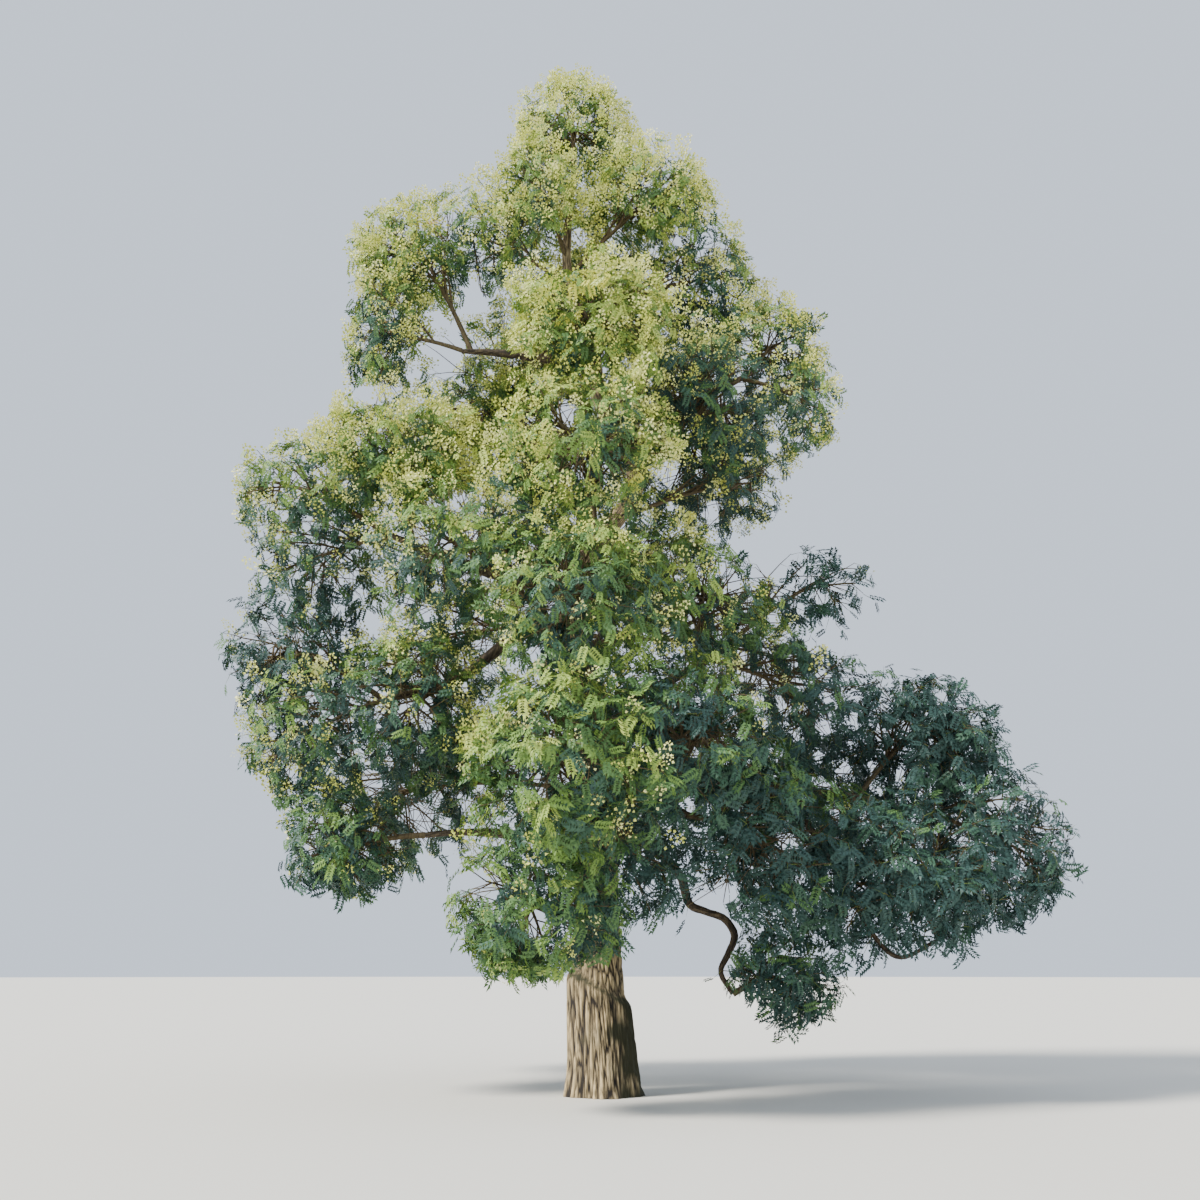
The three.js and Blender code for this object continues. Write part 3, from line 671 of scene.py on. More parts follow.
# %% Table of masses
# For each part of the crown, its masses: name, limb (the trunk or a bough), where on it, egg's middle,
# egg's half widths, bloom, tint and sky.
CROWN = {
    "top": [
        ["crown_top", "trunk", TRUNK_TOP, (-0.5, 0, 15.54), (1.02, 0.88, 1.02), 0.9, 0.75, 0.06],
        ["inner_left", "trunk", 12.35, (-2.05, 0.3, 13.5), (0.58, 1, 0.95), 0.85, 0.75, 0.1],
        ["upper_left", "trunk", 12.9, (-0.96, -0.6, 13.74), (0.74, 1.05, 1.19), 0.8, 0.75, 0.06],
        ["upper_right", "trunk", 12.6, (0.9, -0.3, 13.88), (0.88, 1.15, 1.04), 0.8, 0.7, 0.1],
        ["right_shoulder", "trunk", 11.8, (1.88, 0.5, 12.84), (0.75, 1.2, 0.91), 0.7, 0.55, 0.1],
        ["back_top", "trunk", 12.2, (0.23, 1.6, 13.14), (1.47, 1.1, 1.21), 0.75, 0.6, 0.12],
    ],
    "upper": [
        ["upper_front", "trunk", 10, (-0.3, -1.8, 10.75), (1.3, 1.3, 1.22), 0.52, 0.78, 0.05],
        ["mid_front", "trunk", 7.9, (-0.21, -2.3, 8.48), (1.22, 1.3, 1.05), 0.5, 0.64, 0.09],
        ["high_left", "high_left", 0.93, (-3.13, 0.2, 13.22), (1.26, 1.1, 0.9), 0.8, 0.7, 0.05],
        ["high_left_hang", "high_left", 1, (-3.56, -0.3, 11.3), (0.63, 1, 1.08), 0.6, 0.45, 0.1],
        ["right_high", "high_right", 1, (2.84, 0.5, 11.55), (0.98, 1.05, 0.76), 0.65, 0.5, 0.1],
        ["right_tip", "high_right", 0.9, (3.32, -0.2, 10.1), (0.6, 0.95, 0.66), 0.6, 0.5, 0.16],
        ["right_inner", "trunk", 9, (1.71, -0.7, 9.93), (1.02, 1.4, 1.08), 0.35, 0.3, 0.18],
        ["right_under", "trunk", 8.25, (2.16, 0.5, 9.03), (0.78, 1.1, 0.64), 0.3, 0.2, 0.25],
    ],
    "left": [
        ["left_tip", "left_shoulder", 1, (-4.98, 0, 8.82), (0.78, 1, 0.7), 0.6, 0.6, 0.16],
        ["left_shoulder", "left_shoulder", 0.82, (-3.12, -0.6, 9.11), (1.36, 1.45, 0.92), 0.7, 0.6, 0.07],
        ["left_low_shoulder", "left_shoulder", 0.91, (-4.45, 0.4, 7.75), (1, 1.3, 0.8), 0.25, 0.4, 0.22],
        ["left_low_tip", "left_low", 1, (-4.8, 0.2, 6.2), (1.02, 1.1, 0.92), 0.05, 0.06, 0.16],
        ["left_hang", "left_low", 0.9, (-4.2, -0.5, 4.77), (1.08, 1.1, 0.84), 0.35, 0.45, 0.12],
        ["left_inner_low", "left_low", 0.6, (-2.7, -0.5, 5.2), (1.1, 1.5, 1), 0.12, 0.35, 0.15],
        ["left_bottom", "left_bottom", 1, (-3.57, -0.4, 3.16), (1.01, 1.1, 0.76), 0.06, 0.35, 0.1],
    ],
    "front": [
        ["front_mid", "front_mid", 1, (-0.32, -3, 6.1), (1.1, 1.1, 0.95), 0.15, 0.5, 0.07],
        ["left_front", "front_mid", 0.86, (-2.07, -1.9, 7.17), (1.26, 1.2, 0.98), 0.3, 0.5, 0.2],
        ["front_low", "front_low", 1, (-0.55, -3.4, 3.95), (1.18, 1.2, 1.08), 0.08, 0.58, 0.02],
        ["front_bottom", "front_bottom", 1, (-0.85, -2.5, 2.3), (1.15, 1.05, 0.92), 0.03, 0.54, 0],
        ["trunk_right", "trunk", 2.45, (0.22, -1.6, 3.1), (0.85, 0.85, 1.0), 0, 0.4, 0],
        ["right_front_low", "right_front", 0.86, (1.11, -2.6, 4.45), (1.05, 1.1, 1.0), 0.02, 0.35, 0.03],
        ["right_mid", "right_rise", 0.78, (1.43, -1.2, 6.65), (1.05, 1.4, 0.94), 0.1, 0.5, 0.28],
    ],
    "right": [
        ["right_far_top", "right_arch", 0.93, (4.7, 0.2, 4.98), (1.25, 1.3, 1.0), 0, 0.05, 0.1],
        ["right_far_tip", "right_arch", 1, (5.73, -0.3, 3.22), (0.85, 1.2, 1.05), 0, 0.08, 0.08],
        ["right_far_low", "right_trail", 1, (4.02, -1.2, 2.74), (1.25, 1.2, 1.2), 0, 0.1, 0.03],
        ["right_droop", "right_low", 1, (2.25, -0.7, 1.5), (0.85, 0.8, 0.87), 0, 0.35, 0],
        ["right_low_inner", "right_front", 1, (2, -1.5, 3.2), (1.15, 1.2, 1.1), 0, 0.22, 0.02],
        ["right_mid_low", "right_rise", 0.9, (2.85, -0.3, 5.4), (1, 1.3, 0.8), 0.03, 0.2, 0.3],
        ["right_arm", "right_rise", 1, (3.35, 0.3, 7.3), (1.08, 0.8, 0.62), 0.02, 0.1, 0.3],
    ],
    "back_high": [
        ["back_high_left", "back_high", 1, (-1.85, 1.95, 11.2), (1.5, 1.6, 1.45), 0.65, 0.55, 0.14],
        ["back_high_right", "back_high", 0.88, (1.64, 2.1, 10.6), (1.5, 1.6, 1.45), 0.6, 0.5, 0.15],
        ["back_mid", "back_mid", 1, (-0.1, 3.2, 8.4), (1.85, 1.65, 1.65), 0.5, 0.5, 0.22],
        ["back_left_mid", "back_mid", 0.9, (-2.66, 2.3, 7.0), (1.12, 1.7, 1.4), 0.45, 0.45, 0.45],
        ["back_right_mid", "back_mid", 0.8, (2.6, 2.5, 6.75), (1.13, 1.7, 1.2), 0.3, 0.35, 0.45],
    ],
    "back_low": [
        ["back_low", "back_low", 1, (0.3, 3.9, 5.1), (1.8, 1.65, 1.6), 0.15, 0.35, 0.25],
        ["back_left_low", "back_low", 0.9, (-3.3, 2.7, 4.4), (1.6, 1.6, 1.35), 0.15, 0.35, 0.3],
        ["back_right_low", "back_low", 0.8, (3.6, 2.7, 4), (1.65, 1.6, 1.3), 0.03, 0.2, 0.25],
    ],
}
PART_NAMES = list(CROWN)
PARTS = [part for part, rows in CROWN.items() for _ in rows]
MASSES = [row for rows in CROWN.values() for row in rows]
NAMES, LIMBS, ROOTS, *numbers = zip(*MASSES)
MIDDLES, HALVES, BLOOMS, TINTS, SKY_SHARES = (np.array(column, float) for column in numbers)
print("masses:", len(MASSES))


# %% [markdown]
# ## Where foliage grows
#
# The real crown bulges where a bough carries many leaves and thins out between boughs. Cutting a
# few balls apart would leave hard seams. Here every egg pulls, less so further from its middle, and
# the crown is wherever the pulls add up to enough, so neighbours run together smoothly. A spot
# belongs to the egg that holds it most deeply, so no two masses grow into each other. Wide openings
# and small gaps are then kept clear along the line of sight, with the sky behind them, and in a few
# windows only what grows in front is left out, so that limbs show.

# %% Openings and windows
# Ellipses in the trunk's plane: to the right, height, and half widths. The sky shows through these.
OPENINGS = np.array(
    [
        [-2.56, 11.2, 0.34, 0.36],
        [-2.1, 12.2, 0.16, 0.42],
        [-3.65, 10.45, 0.42, 0.14],
        [-3.54, 6.61, 0.13, 0.17],
        [-2.7, 6.78, 0.16, 0.08],
        [-3.93, 7.28, 0.18, 0.07],
        [-1.9, 7.33, 0.11, 0.1],
        [-2.66, 5.14, 0.14, 0.1],
        [-3.34, 4.2, 0.14, 0.2],
        [-2.62, 3.63, 0.2, 0.26],
        [-1.73, 2.75, 0.31, 0.21],
        [-0.88, 2.2, 0.13, 0.2],
        [-0.65, 10.07, 0.21, 0.23],
        [-0.33, 13.35, 0.15, 0.18],
        [-2.28, 14.02, 0.1, 0.16],
        [2.56, 7.44, 0.24, 0.15],
        [1.99, 7.23, 0.15, 0.18],
        [1.03, 8.98, 0.19, 0.19],
        [1.7, 8.39, 0.14, 0.2],
        [2.46, 5.71, 0.33, 0.12],
        [2.6, 3.33, 0.17, 0.11],
    ]
)
# Limbs show in these.
WINDOWS = np.array(
    [
        [-0.62, 13.05, 0.4, 0.24],
        [-2.2, 11.25, 0.4, 0.22],
        [-1.5, 11.05, 0.6, 0.14],
        [1.5, 2.1, 0.34, 0.6],
    ]
)
WINDOW_DEPTH = 0.1  # foliage further back than this behind the trunk's plane stays
print("openings:", len(OPENINGS), "windows:", len(WINDOWS))


# %% Slow waves
WAVES = 7
chance = np.random.default_rng(SEED)
wave_ways = unit(chance.normal(size=(3, WAVES)).T).T
wave_starts = chance.random(WAVES) * 2 * math.pi


def patchy(points, size):
    """A number from about -1 to 1 at each point, which changes slowly from place to place."""
    waves = np.sin(points @ wave_ways * 2 * math.pi / size + wave_starts)
    return waves.sum(axis=1) / math.sqrt(WAVES)


print("waves at the trunk's foot:", patchy(np.zeros((1, 3)), 1).round(2).tolist())


# %% Gaps that the sky shows through
GAP_SIZE = 0.34
GAP_SHARE = 0.8  # how much of the sky that shows comes through gaps, and not between single leaves
RAGGED_EDGE = {"amount": 0.5, "size": 0.5}
gap_sample = patchy(chance.random((20000, 3)) * [12, 0, 15], GAP_SIZE)
GAP_LEVELS = np.quantile(gap_sample, 1 - GAP_SHARE * SKY_SHARES)


def within(spots, ellipses):
    """True where a spot in the trunk's plane is in one of some ellipses with ragged edges."""
    across = (spots[:, :1] - ellipses[:, 0]) / ellipses[:, 2]
    up = (spots[:, 2:] - ellipses[:, 1]) / ellipses[:, 3]
    edge = 1 + RAGGED_EDGE["amount"] * patchy(spots, RAGGED_EDGE["size"])
    return np.any(across**2 + up**2 < edge[:, None], axis=1)


def in_opening(points, owners):
    """True where a point stands in an opening, or in a small gap, seen from the camera's place."""
    nearer = CAMERA_DISTANCE / (points[:, 1] + CAMERA_DISTANCE)
    right = CAMERA_SIDE + (points[:, 0] - CAMERA_SIDE) * nearer
    height = EYE_HEIGHT + (points[:, 2] - EYE_HEIGHT) * nearer
    spots = np.stack([right, np.zeros(len(right)), height], axis=1)
    window = within(spots, WINDOWS) & (points[:, 1] < WINDOW_DEPTH)
    return within(spots, OPENINGS) | window | (patchy(spots, GAP_SIZE) > GAP_LEVELS[owners])


clear = in_opening(MIDDLES, np.arange(len(MASSES)))
print("masses with a clear middle:", [NAMES[i] for i in np.flatnonzero(clear)])


# %% Each mass's own space
FADING = 1.0  # how fast a mass's pull fades away from its middle
RAGGED = 0.1  # how much the crown's skin goes in and out
RAG_SIZE = 0.75


def depths(points):
    """How far out points are in every mass's egg: 0 in its middle, 1 on its skin."""
    return np.linalg.norm((points[:, None, :] - MIDDLES) / HALVES, axis=2)


def crown_depth(points):
    """How far out points are in the whole crown: 0 well inside, and 1 on the skin of a lone egg."""
    pull = np.exp(-FADING * depths(points) ** 2).sum(axis=1)
    depth = np.sqrt(np.maximum(-np.log(pull) / FADING, 0))
    return depth + RAGGED * patchy(points, RAG_SIZE)


def in_own_space(points, owners, reach):
    """True where a point is in the crown, and no other mass's egg holds it more deeply."""
    all_depths = depths(points)
    own = all_depths[np.arange(len(points)), owners]
    return (crown_depth(points) < reach) & (own <= all_depths.min(axis=1))


def out_of_egg(points, owners):
    """The way out of a mass's egg at each point."""
    return unit((points - MIDDLES[owners]) / HALVES[owners] ** 2)


def out_of_crown(points):
    """The way out of the whole crown at each point."""
    away = (points[:, None] - MIDDLES) / HALVES
    pull = np.exp(-FADING * np.sum(away**2, axis=2))
    return unit(np.sum(away / HALVES * pull[..., None], axis=1))


own_middle = in_own_space(MIDDLES, np.arange(len(MASSES)), 1)
print("masses in whose middle nothing grows:", [NAMES[i] for i in np.flatnonzero(~own_middle)])

# %% [markdown]
# ## Stems and branches
#
# The rule is the solids' own. A stem leaves its limb, bends up and ends a little past the middle of
# the egg. Branches leave it in directions that a golden angle spreads evenly, and one that would head
# back along the stem or leave the mass's space isn't grown. Here there are more of them, and they go
# on in finer twigs.

# %% Stems
STEM = {"base": 0.05, "tip": 0.022, "past": 0.12, "rise": 0.1, "steps": 8}
UP = np.array([0.0, 0.0, 1.0])


def quadratic(start, bend, end, share):
    """Points on curves from start to end that are pulled towards bend."""
    return start * (1 - share) ** 2 + bend * 2 * share * (1 - share) + end * share**2


def stem_curve(limb, where, middle):
    """The start, bend and end of the stem that a limb carries to the middle of a mass."""
    root = trunk_heart(where) if limb == "trunk" else LINES["bough_" + limb].at(where)
    end = middle + (middle - root) * STEM["past"]
    bend = (root + end) / 2 + UP * STEM["rise"] * np.linalg.norm(end - root)
    return root, bend, end


stems = [stem_curve(*place) for place in zip(LIMBS, ROOTS, MIDDLES)]
print("longest stem:", round(max(float(np.linalg.norm(e - s)) for s, _, e in stems), 2), "m")

# %% Branches
BRANCHES_PER_SQUARE_METRE = 5.2  # of a mass's middle section
FEWEST_BRANCHES = 9
GOLDEN_ANGLE = math.pi * (3 - math.sqrt(5))
BRANCH = {"reach": 0.62, "shortest": 0.75, "spread": 0.35, "first": 0.3, "last": 1.0, "rise": 0.1}
HEADING = {"jitter": 0.5, "backward": 0.78}
# Branches that have room in front of them are drawn out a few times.
DRAWN_OUT = {"times": 4, "by": 1.12, "room": 0.62}


def only(wanted, **kinds):
    """The same arrays, with only the wanted rows."""
    return {kind: values[wanted] for kind, values in kinds.items()}


grown_branches = []
for index, (root, bend, end) in enumerate(stems):
    middle, half = MIDDLES[index], HALVES[index]
    section = math.pi * (half[0] * half[1] + half[1] * half[2] + half[2] * half[0]) / 3
    count = max(FEWEST_BRANCHES, round(section * BRANCHES_PER_SQUARE_METRE))
    k = np.arange(count)
    level = 1 - 2 * (k + 0.5) / count
    bearing = chance.random() * 2 * math.pi + k * GOLDEN_ANGLE
    across = np.sqrt(1 - level**2)
    even = np.stack([across * np.cos(bearing), across * np.sin(bearing), level], axis=1)
    even = unit(even + (chance.random((count, 3)) - 0.5) * HEADING["jitter"])
    share = BRANCH["first"] + (BRANCH["last"] - BRANCH["first"]) * k / (count - 1)
    start = quadratic(root, bend, end, share[:, None])
    reach = BRANCH["reach"] * (BRANCH["shortest"] + BRANCH["spread"] * chance.random((count, 1)))
    tip = middle + even * half * reach
    owner = np.full(count, index)
    for _ in range(DRAWN_OUT["times"]):
        longer = middle + (tip - middle) * DRAWN_OUT["by"]
        room = in_own_space(longer, owner, DRAWN_OUT["room"])
        tip = np.where(room[:, None], longer, tip)
    grown = even @ unit(root - middle) < HEADING["backward"]
    grown &= in_own_space(tip, owner, 1)
    lift = BRANCH["rise"] * np.linalg.norm(tip - start, axis=1, keepdims=True)
    bent = (start + tip) / 2 + UP * lift
    grown_branches.append(only(grown, start=start, bend=bent, end=tip, owner=owner))
branches = {
    kind: np.concatenate([of_mass[kind] for of_mass in grown_branches])
    for kind in ("start", "bend", "end", "owner")
}
print("branches:", len(branches["owner"]))

# %% [markdown]
# ## Twigs and sprays
#
# Each branch carries twigs, each twig carries short green shoots, and each shoot is a spray with a
# few leaves. All of them turn round what carries them by the golden angle. They are reckoned as
# whole arrays at once, because thousands of small objects would take minutes to make.


# %% Twigs
def sideways(heading, turn):
    """Directions square to a heading, turned round it."""
    steep = np.abs(heading[..., 2:3]) > 0.9
    other = np.where(steep, [1.0, 0, 0], [0, 0, 1.0])
    first = unit(np.cross(heading, other))
    second = np.cross(heading, first)
    return np.cos(turn)[..., None] * first + np.sin(turn)[..., None] * second


TWIGS_ON_BRANCH = 8
TWIG = {"length": 1.0, "shortest": 0.7, "spread": 0.6, "first": 0.22, "reach": 0.88}
# How much each twig heads onward along its branch, aside from it, and out of its mass.
TWIG_WAY = {"onward": 0.5, "aside": 0.9, "last_aside": 0.1, "out": 0.4}
SHRINK = 0.86
SHRINKS = 8
A_LITTLE_ON = 0.02


def some_lengths(kind, count):
    """Random lengths for a number of twigs, shoots, leaves or sprays of blossom."""
    return kind["length"] * (kind["shortest"] + kind["spread"] * chance.random(count))


count = len(branches["owner"])
step = np.arange(TWIGS_ON_BRANCH) / (TWIGS_ON_BRANCH - 1)
share = TWIG["first"] + (1 - TWIG["first"]) * step[None, :] * np.ones((count, 1))
start, bend, end = (branches[key][:, None, :] for key in ("start", "bend", "end"))
base = quadratic(start, bend, end, share[..., None])
heading = unit(quadratic(start, bend, end, share[..., None] + A_LITTLE_ON) - base)
turn = chance.random((count, 1)) * 2 * math.pi + np.arange(TWIGS_ON_BRANCH) * GOLDEN_ANGLE
how_far_aside = np.where(share < 1, TWIG_WAY["aside"], TWIG_WAY["last_aside"])
aside = sideways(heading, turn) * how_far_aside[..., None]
owner = np.repeat(branches["owner"], TWIGS_ON_BRANCH)
base, heading, aside = (a.reshape(-1, 3) for a in (base, heading, aside))
direction = unit(heading * TWIG_WAY["onward"] + aside + out_of_egg(base, owner) * TWIG_WAY["out"])
length = some_lengths(TWIG, len(base))
for _ in range(SHRINKS):
    outside = ~in_own_space(base + direction * length[:, None], owner, TWIG["reach"])
    length = np.where(outside, length * SHRINK, length)
grown = in_own_space(base + direction * length[:, None], owner, TWIG["reach"])
carrier = np.repeat(np.arange(count), TWIGS_ON_BRANCH)
twigs = only(grown, start=base, direction=direction, length=length)
twigs |= only(grown, owner=owner, carrier=carrier, share=share.ravel())
print("twigs:", len(twigs["owner"]), "of", len(owner))

# %% Shoots
SHOOT_PLACES = (0.26, 0.46, 0.65, 0.83, 1.0)
SHOOT = {"length": 0.2, "shortest": 0.6, "spread": 0.8, "reach": 0.93, "stray": 0.12}
SHOOT_WAY = {"onward": 0.55, "aside": 0.8, "out": 0.3, "droop": 0.15}
INNER = 0.42  # shoots deeper inside than this are grown only in part
INNER_SHARE = 0.45
TRUNK_CLEARANCE = 0.12

count, places = len(twigs["owner"]), len(SHOOT_PLACES)
share = np.array(SHOOT_PLACES) * np.ones((count, 1))
share = share + (chance.random((count, places)) - 0.5) * SHOOT["stray"]
along = (twigs["length"][:, None] * share)[..., None]
base = twigs["start"][:, None] + twigs["direction"][:, None] * along
heading = np.repeat(twigs["direction"], places, axis=0)
turn = chance.random((count, 1)) * 2 * math.pi + np.arange(places) * GOLDEN_ANGLE
aside = sideways(heading, turn.ravel()) * SHOOT_WAY["aside"]
base = base.reshape(-1, 3)
owner = np.repeat(twigs["owner"], places)
direction = heading * SHOOT_WAY["onward"] + aside + out_of_egg(base, owner) * SHOOT_WAY["out"]
direction = unit(direction - UP * SHOOT_WAY["droop"])
length = some_lengths(SHOOT, len(base))
tip = base + direction * length[:, None]
from_trunk = np.linalg.norm((tip - trunk_heart(tip[:, 2]))[:, :2], axis=1)
grown = in_own_space(tip, owner, SHOOT["reach"]) & ~in_opening(tip, owner)
grown &= (crown_depth(tip) > INNER) | (chance.random(len(tip)) < INNER_SHARE)
grown &= from_trunk > from_table(TRUNK_GIRTH, tip[:, 2], 1) + TRUNK_CLEARANCE
carrier = np.repeat(np.arange(count), places)
shoots = only(grown, start=base, tip=tip, direction=direction)
shoots |= only(grown, owner=owner, carrier=carrier, share=share.ravel())
shoot_depth = crown_depth(shoots["tip"])
print("shoots:", len(shoots["owner"]), "from inside to out:", np.histogram(shoot_depth, 6)[0].tolist())

# %% Where shoots bloom
BLOOM_FROM, BLOOM_FULL = 0.4, 0.8  # depth in the crown where blossom starts, and where it is fullest
BLOOM_MOST = 0.98
BLOOM_PATCHES = {"amount": 0.35, "size": 0.9}
SUNNY_LEAN = 0.35  # how much more blossom there is on top of a mass than under it

fullness = np.clip((shoot_depth - BLOOM_FROM) / (BLOOM_FULL - BLOOM_FROM), 0, 1)
away = out_of_crown(shoots["tip"])
likely = BLOOM_MOST * BLOOMS[shoots["owner"]] * fullness * (1 + SUNNY_LEAN * away[:, 2])
likely *= 1 + BLOOM_PATCHES["amount"] * patchy(shoots["tip"], BLOOM_PATCHES["size"])
print("shoots that most likely bloom:", int((likely > 0.5).sum()))

# %% [markdown]
# ## Leaves
#
# A leaf of this tree is feathered: leaflets in pairs along a thin midrib, and one at its tip. Kites of
# two faces, folded along the middle, would show each leaflet's shape best, but the whole crown has to
# stay near a million faces. So each leaflet is one slanted blade, fastened at a point and widest a
# third of the way out, and there can be twice as many leaves, which matters more in a crown. The blades
# tilt to and fro, so that neighbours catch the light differently. A shoot in full bloom has fewer
# leaves, and leaves reach the crown's skin unevenly, as real ones do.

# %% One leaf
LEAF_PAIRS = 6
LEAFLET = {"length": 0.27, "width": 0.115, "angle": math.radians(56), "tilt": 0.035, "droop": 0.05}
WIDEST_AT = 0.34  # share of a leaflet's length
PAIRS_FROM, PAIRS_TO, END_LEAFLET = 0.17, 0.74, 0.75  # places along the leaf
MIDRIB = {"length": 0.78, "width": 0.022}
LEAF_ARCH = 0.16


def sliver(length, width):
    """The corners of a thin blade along +X that ends in a point: a midrib or a stalk."""
    return [np.array(corner) for corner in [(0, -width / 2, 0), (length, 0, 0), (0, width / 2, 0)]]


def leaflet(root, angle, tilt):
    """The three corners of a leaflet that leaves the midrib at a place, turned by an angle."""
    ahead = np.array([math.cos(angle), math.sin(angle), 0])
    across = np.array([-math.sin(angle), math.cos(angle), 0])
    corner = np.array([root, 0, 0])
    tip = corner + ahead * LEAFLET["length"] - [0, 0, LEAFLET["droop"]]
    aside = across * math.copysign(LEAFLET["width"], angle)
    return [corner, corner + (tip - corner) * WIDEST_AT + aside + [0, 0, tilt], tip]


def leaf_template():
    """The corners and faces of one leaf of length 1 that lies along +X, with its face up."""
    corners, faces = [], []
    places = np.linspace(PAIRS_FROM, PAIRS_TO, LEAF_PAIRS)
    leaflets = [(place, sign * LEAFLET["angle"]) for place in places for sign in (1, -1)]
    for number, (place, angle) in enumerate([*leaflets, (END_LEAFLET, 0)]):
        first = len(corners)
        corners += leaflet(place, angle, LEAFLET["tilt"] * (-1) ** (number // 2))
        faces.append((first, first + 1, first + 2))
    first = len(corners)
    corners += sliver(MIDRIB["length"], MIDRIB["width"])
    faces.append((first, first + 1, first + 2))
    corners = np.array(corners)
    corners[:, 2] -= LEAF_ARCH * corners[:, 0] ** 2
    return corners, np.array(faces)


leaf_corners, leaf_faces = leaf_template()
print("faces in a leaf:", len(leaf_faces))

# %% Where the leaves are
LEAVES_ON_SHOOT = 3
LEAF = {"length": 0.25, "shortest": 0.75, "spread": 0.5, "first": 0.3}
LEAF_WAY = {"onward": 0.5, "aside": 0.9, "droop": 0.45, "astray": 0.4}
LEAF_FACE = {"out": 0.7, "up": 0.55, "astray": 0.9}
EDGE = {"reach": 0.94, "astray": 0.15}  # how far out leaves and blossom reach, some further than others
ROOM_FOR_BLOSSOM = 0.4  # share of leaves that a shoot in full bloom does without
BOX_PROUD = 0.02  # leaves may stand out of the solids' box by this share of its sides
LOWEST_LEAF = 0.05


def thrown(count):
    """A number of small random shifts."""
    return chance.random((count, 3)) - 0.5


count = len(shoots["owner"])
share = np.linspace(LEAF["first"], 1, LEAVES_ON_SHOOT) * np.ones((count, 1))
root = shoots["start"][:, None] + (shoots["tip"] - shoots["start"])[:, None] * share[..., None]
root = root.reshape(-1, 3)
heading = np.repeat(shoots["direction"], LEAVES_ON_SHOOT, axis=0)
turn = chance.random((count, 1)) * 2 * math.pi + np.arange(LEAVES_ON_SHOOT) * GOLDEN_ANGLE
owner = np.repeat(shoots["owner"], LEAVES_ON_SHOOT)
spray = np.repeat(np.arange(count), LEAVES_ON_SHOOT)
direction = heading * LEAF_WAY["onward"] + sideways(heading, turn.ravel()) * LEAF_WAY["aside"]
direction = unit(direction - UP * LEAF_WAY["droop"] + thrown(len(root)) * LEAF_WAY["astray"])
face = out_of_crown(root) * LEAF_FACE["out"] + UP * LEAF_FACE["up"]
face += thrown(len(root)) * LEAF_FACE["astray"]
face = unit(face - direction * np.sum(face * direction, axis=1, keepdims=True))
length = some_lengths(LEAF, len(root))
tips = root + direction * length[:, None]
low, high = (np.array(corner) for corner in cad_box)
proud = BOX_PROUD * (high - low)
low, high = low - proud, high + proud
low[2] = LOWEST_LEAF
reach = EDGE["reach"] + EDGE["astray"] * chance.random(len(tips)) ** 2
kept = (crown_depth(tips) < reach) & np.all((tips > low) & (tips < high), axis=1)
kept &= ~in_opening((root + tips) / 2, owner) & ~in_opening(tips, owner)
kept &= chance.random(len(tips)) > ROOM_FOR_BLOSSOM * likely[spray]
leaves = only(kept, root=root, direction=direction, face=face, length=length)
leaves |= only(kept, owner=owner, spray=spray)
print("leaves:", int(kept.sum()), "of", len(kept), "faces:", int(kept.sum()) * len(leaf_faces))

# %% [markdown]
# ## Blossom
#
# The blossom stands in loose sprays at the ends of the shoots, mostly on the outside of the crown.
# From a few steps away each spray is a cloud of cream dots. A cup would look right up close, but two
# petals folded like an open book already show from every side, and leave faces for more florets. They
# are set round a stalk by the golden angle.

# %% One spray of blossom
FLORETS = 17
FLORET_SIZE = 0.08
BLOSSOM_WIDTH = 0.55
STALK = {"bare": 0.2, "length": 0.95, "width": 0.024}
PETALS = np.array([(-0.7, 0, 0), (0.9, 0, 0), (0.1, 0.95, 0.55), (0.1, -0.75, 0.75)])
PETAL_FACES = [(0, 1, 2), (0, 3, 1)]


def blossom_template():
    """The corners and faces of one spray of blossom of length 1 that stands along +X."""
    corners, faces = [], []
    for i in range(FLORETS):
        along = STALK["bare"] + (1 - STALK["bare"]) * (i + 0.5) / FLORETS
        # The spray narrows to its end, and its florets differ in reach and size by turns.
        out = BLOSSOM_WIDTH * (1.15 - along) * (0.5 + 0.5 * ((i * 7) % 5) / 4)
        size = FLORET_SIZE * (0.8 + 0.4 * ((i * 3) % 4) / 3)
        cosine, sine = math.cos(i * GOLDEN_ANGLE), math.sin(i * GOLDEN_ANGLE)
        middle = np.array([along, out * cosine, out * sine])
        turned = np.array([(1, 0, 0), (0, cosine, -sine), (0, sine, cosine)])
        first = len(corners)
        corners += list(middle + PETALS @ turned.T * size)
        faces += [tuple(first + c for c in face) for face in PETAL_FACES]
    first = len(corners)
    corners += sliver(STALK["length"], STALK["width"])
    faces.append((first, first + 1, first + 2))
    return np.array(corners), np.array(faces)


blossom_corners, blossom_faces = blossom_template()
print("faces in a spray of blossom:", len(blossom_faces))

# %% Where the blossom is
SPRAYS_ON_SHOOT = 3
BLOSSOM = {"length": 0.27, "shortest": 0.7, "spread": 0.6, "first": 0.4}
BLOSSOM_WAY = {"onward": 0.5, "out": 0.45, "up": 0.6, "astray": 1.4}
BESIDE = [0.3, 0.9, 0.1]  # a spray faces square to this direction, along which hardly any points

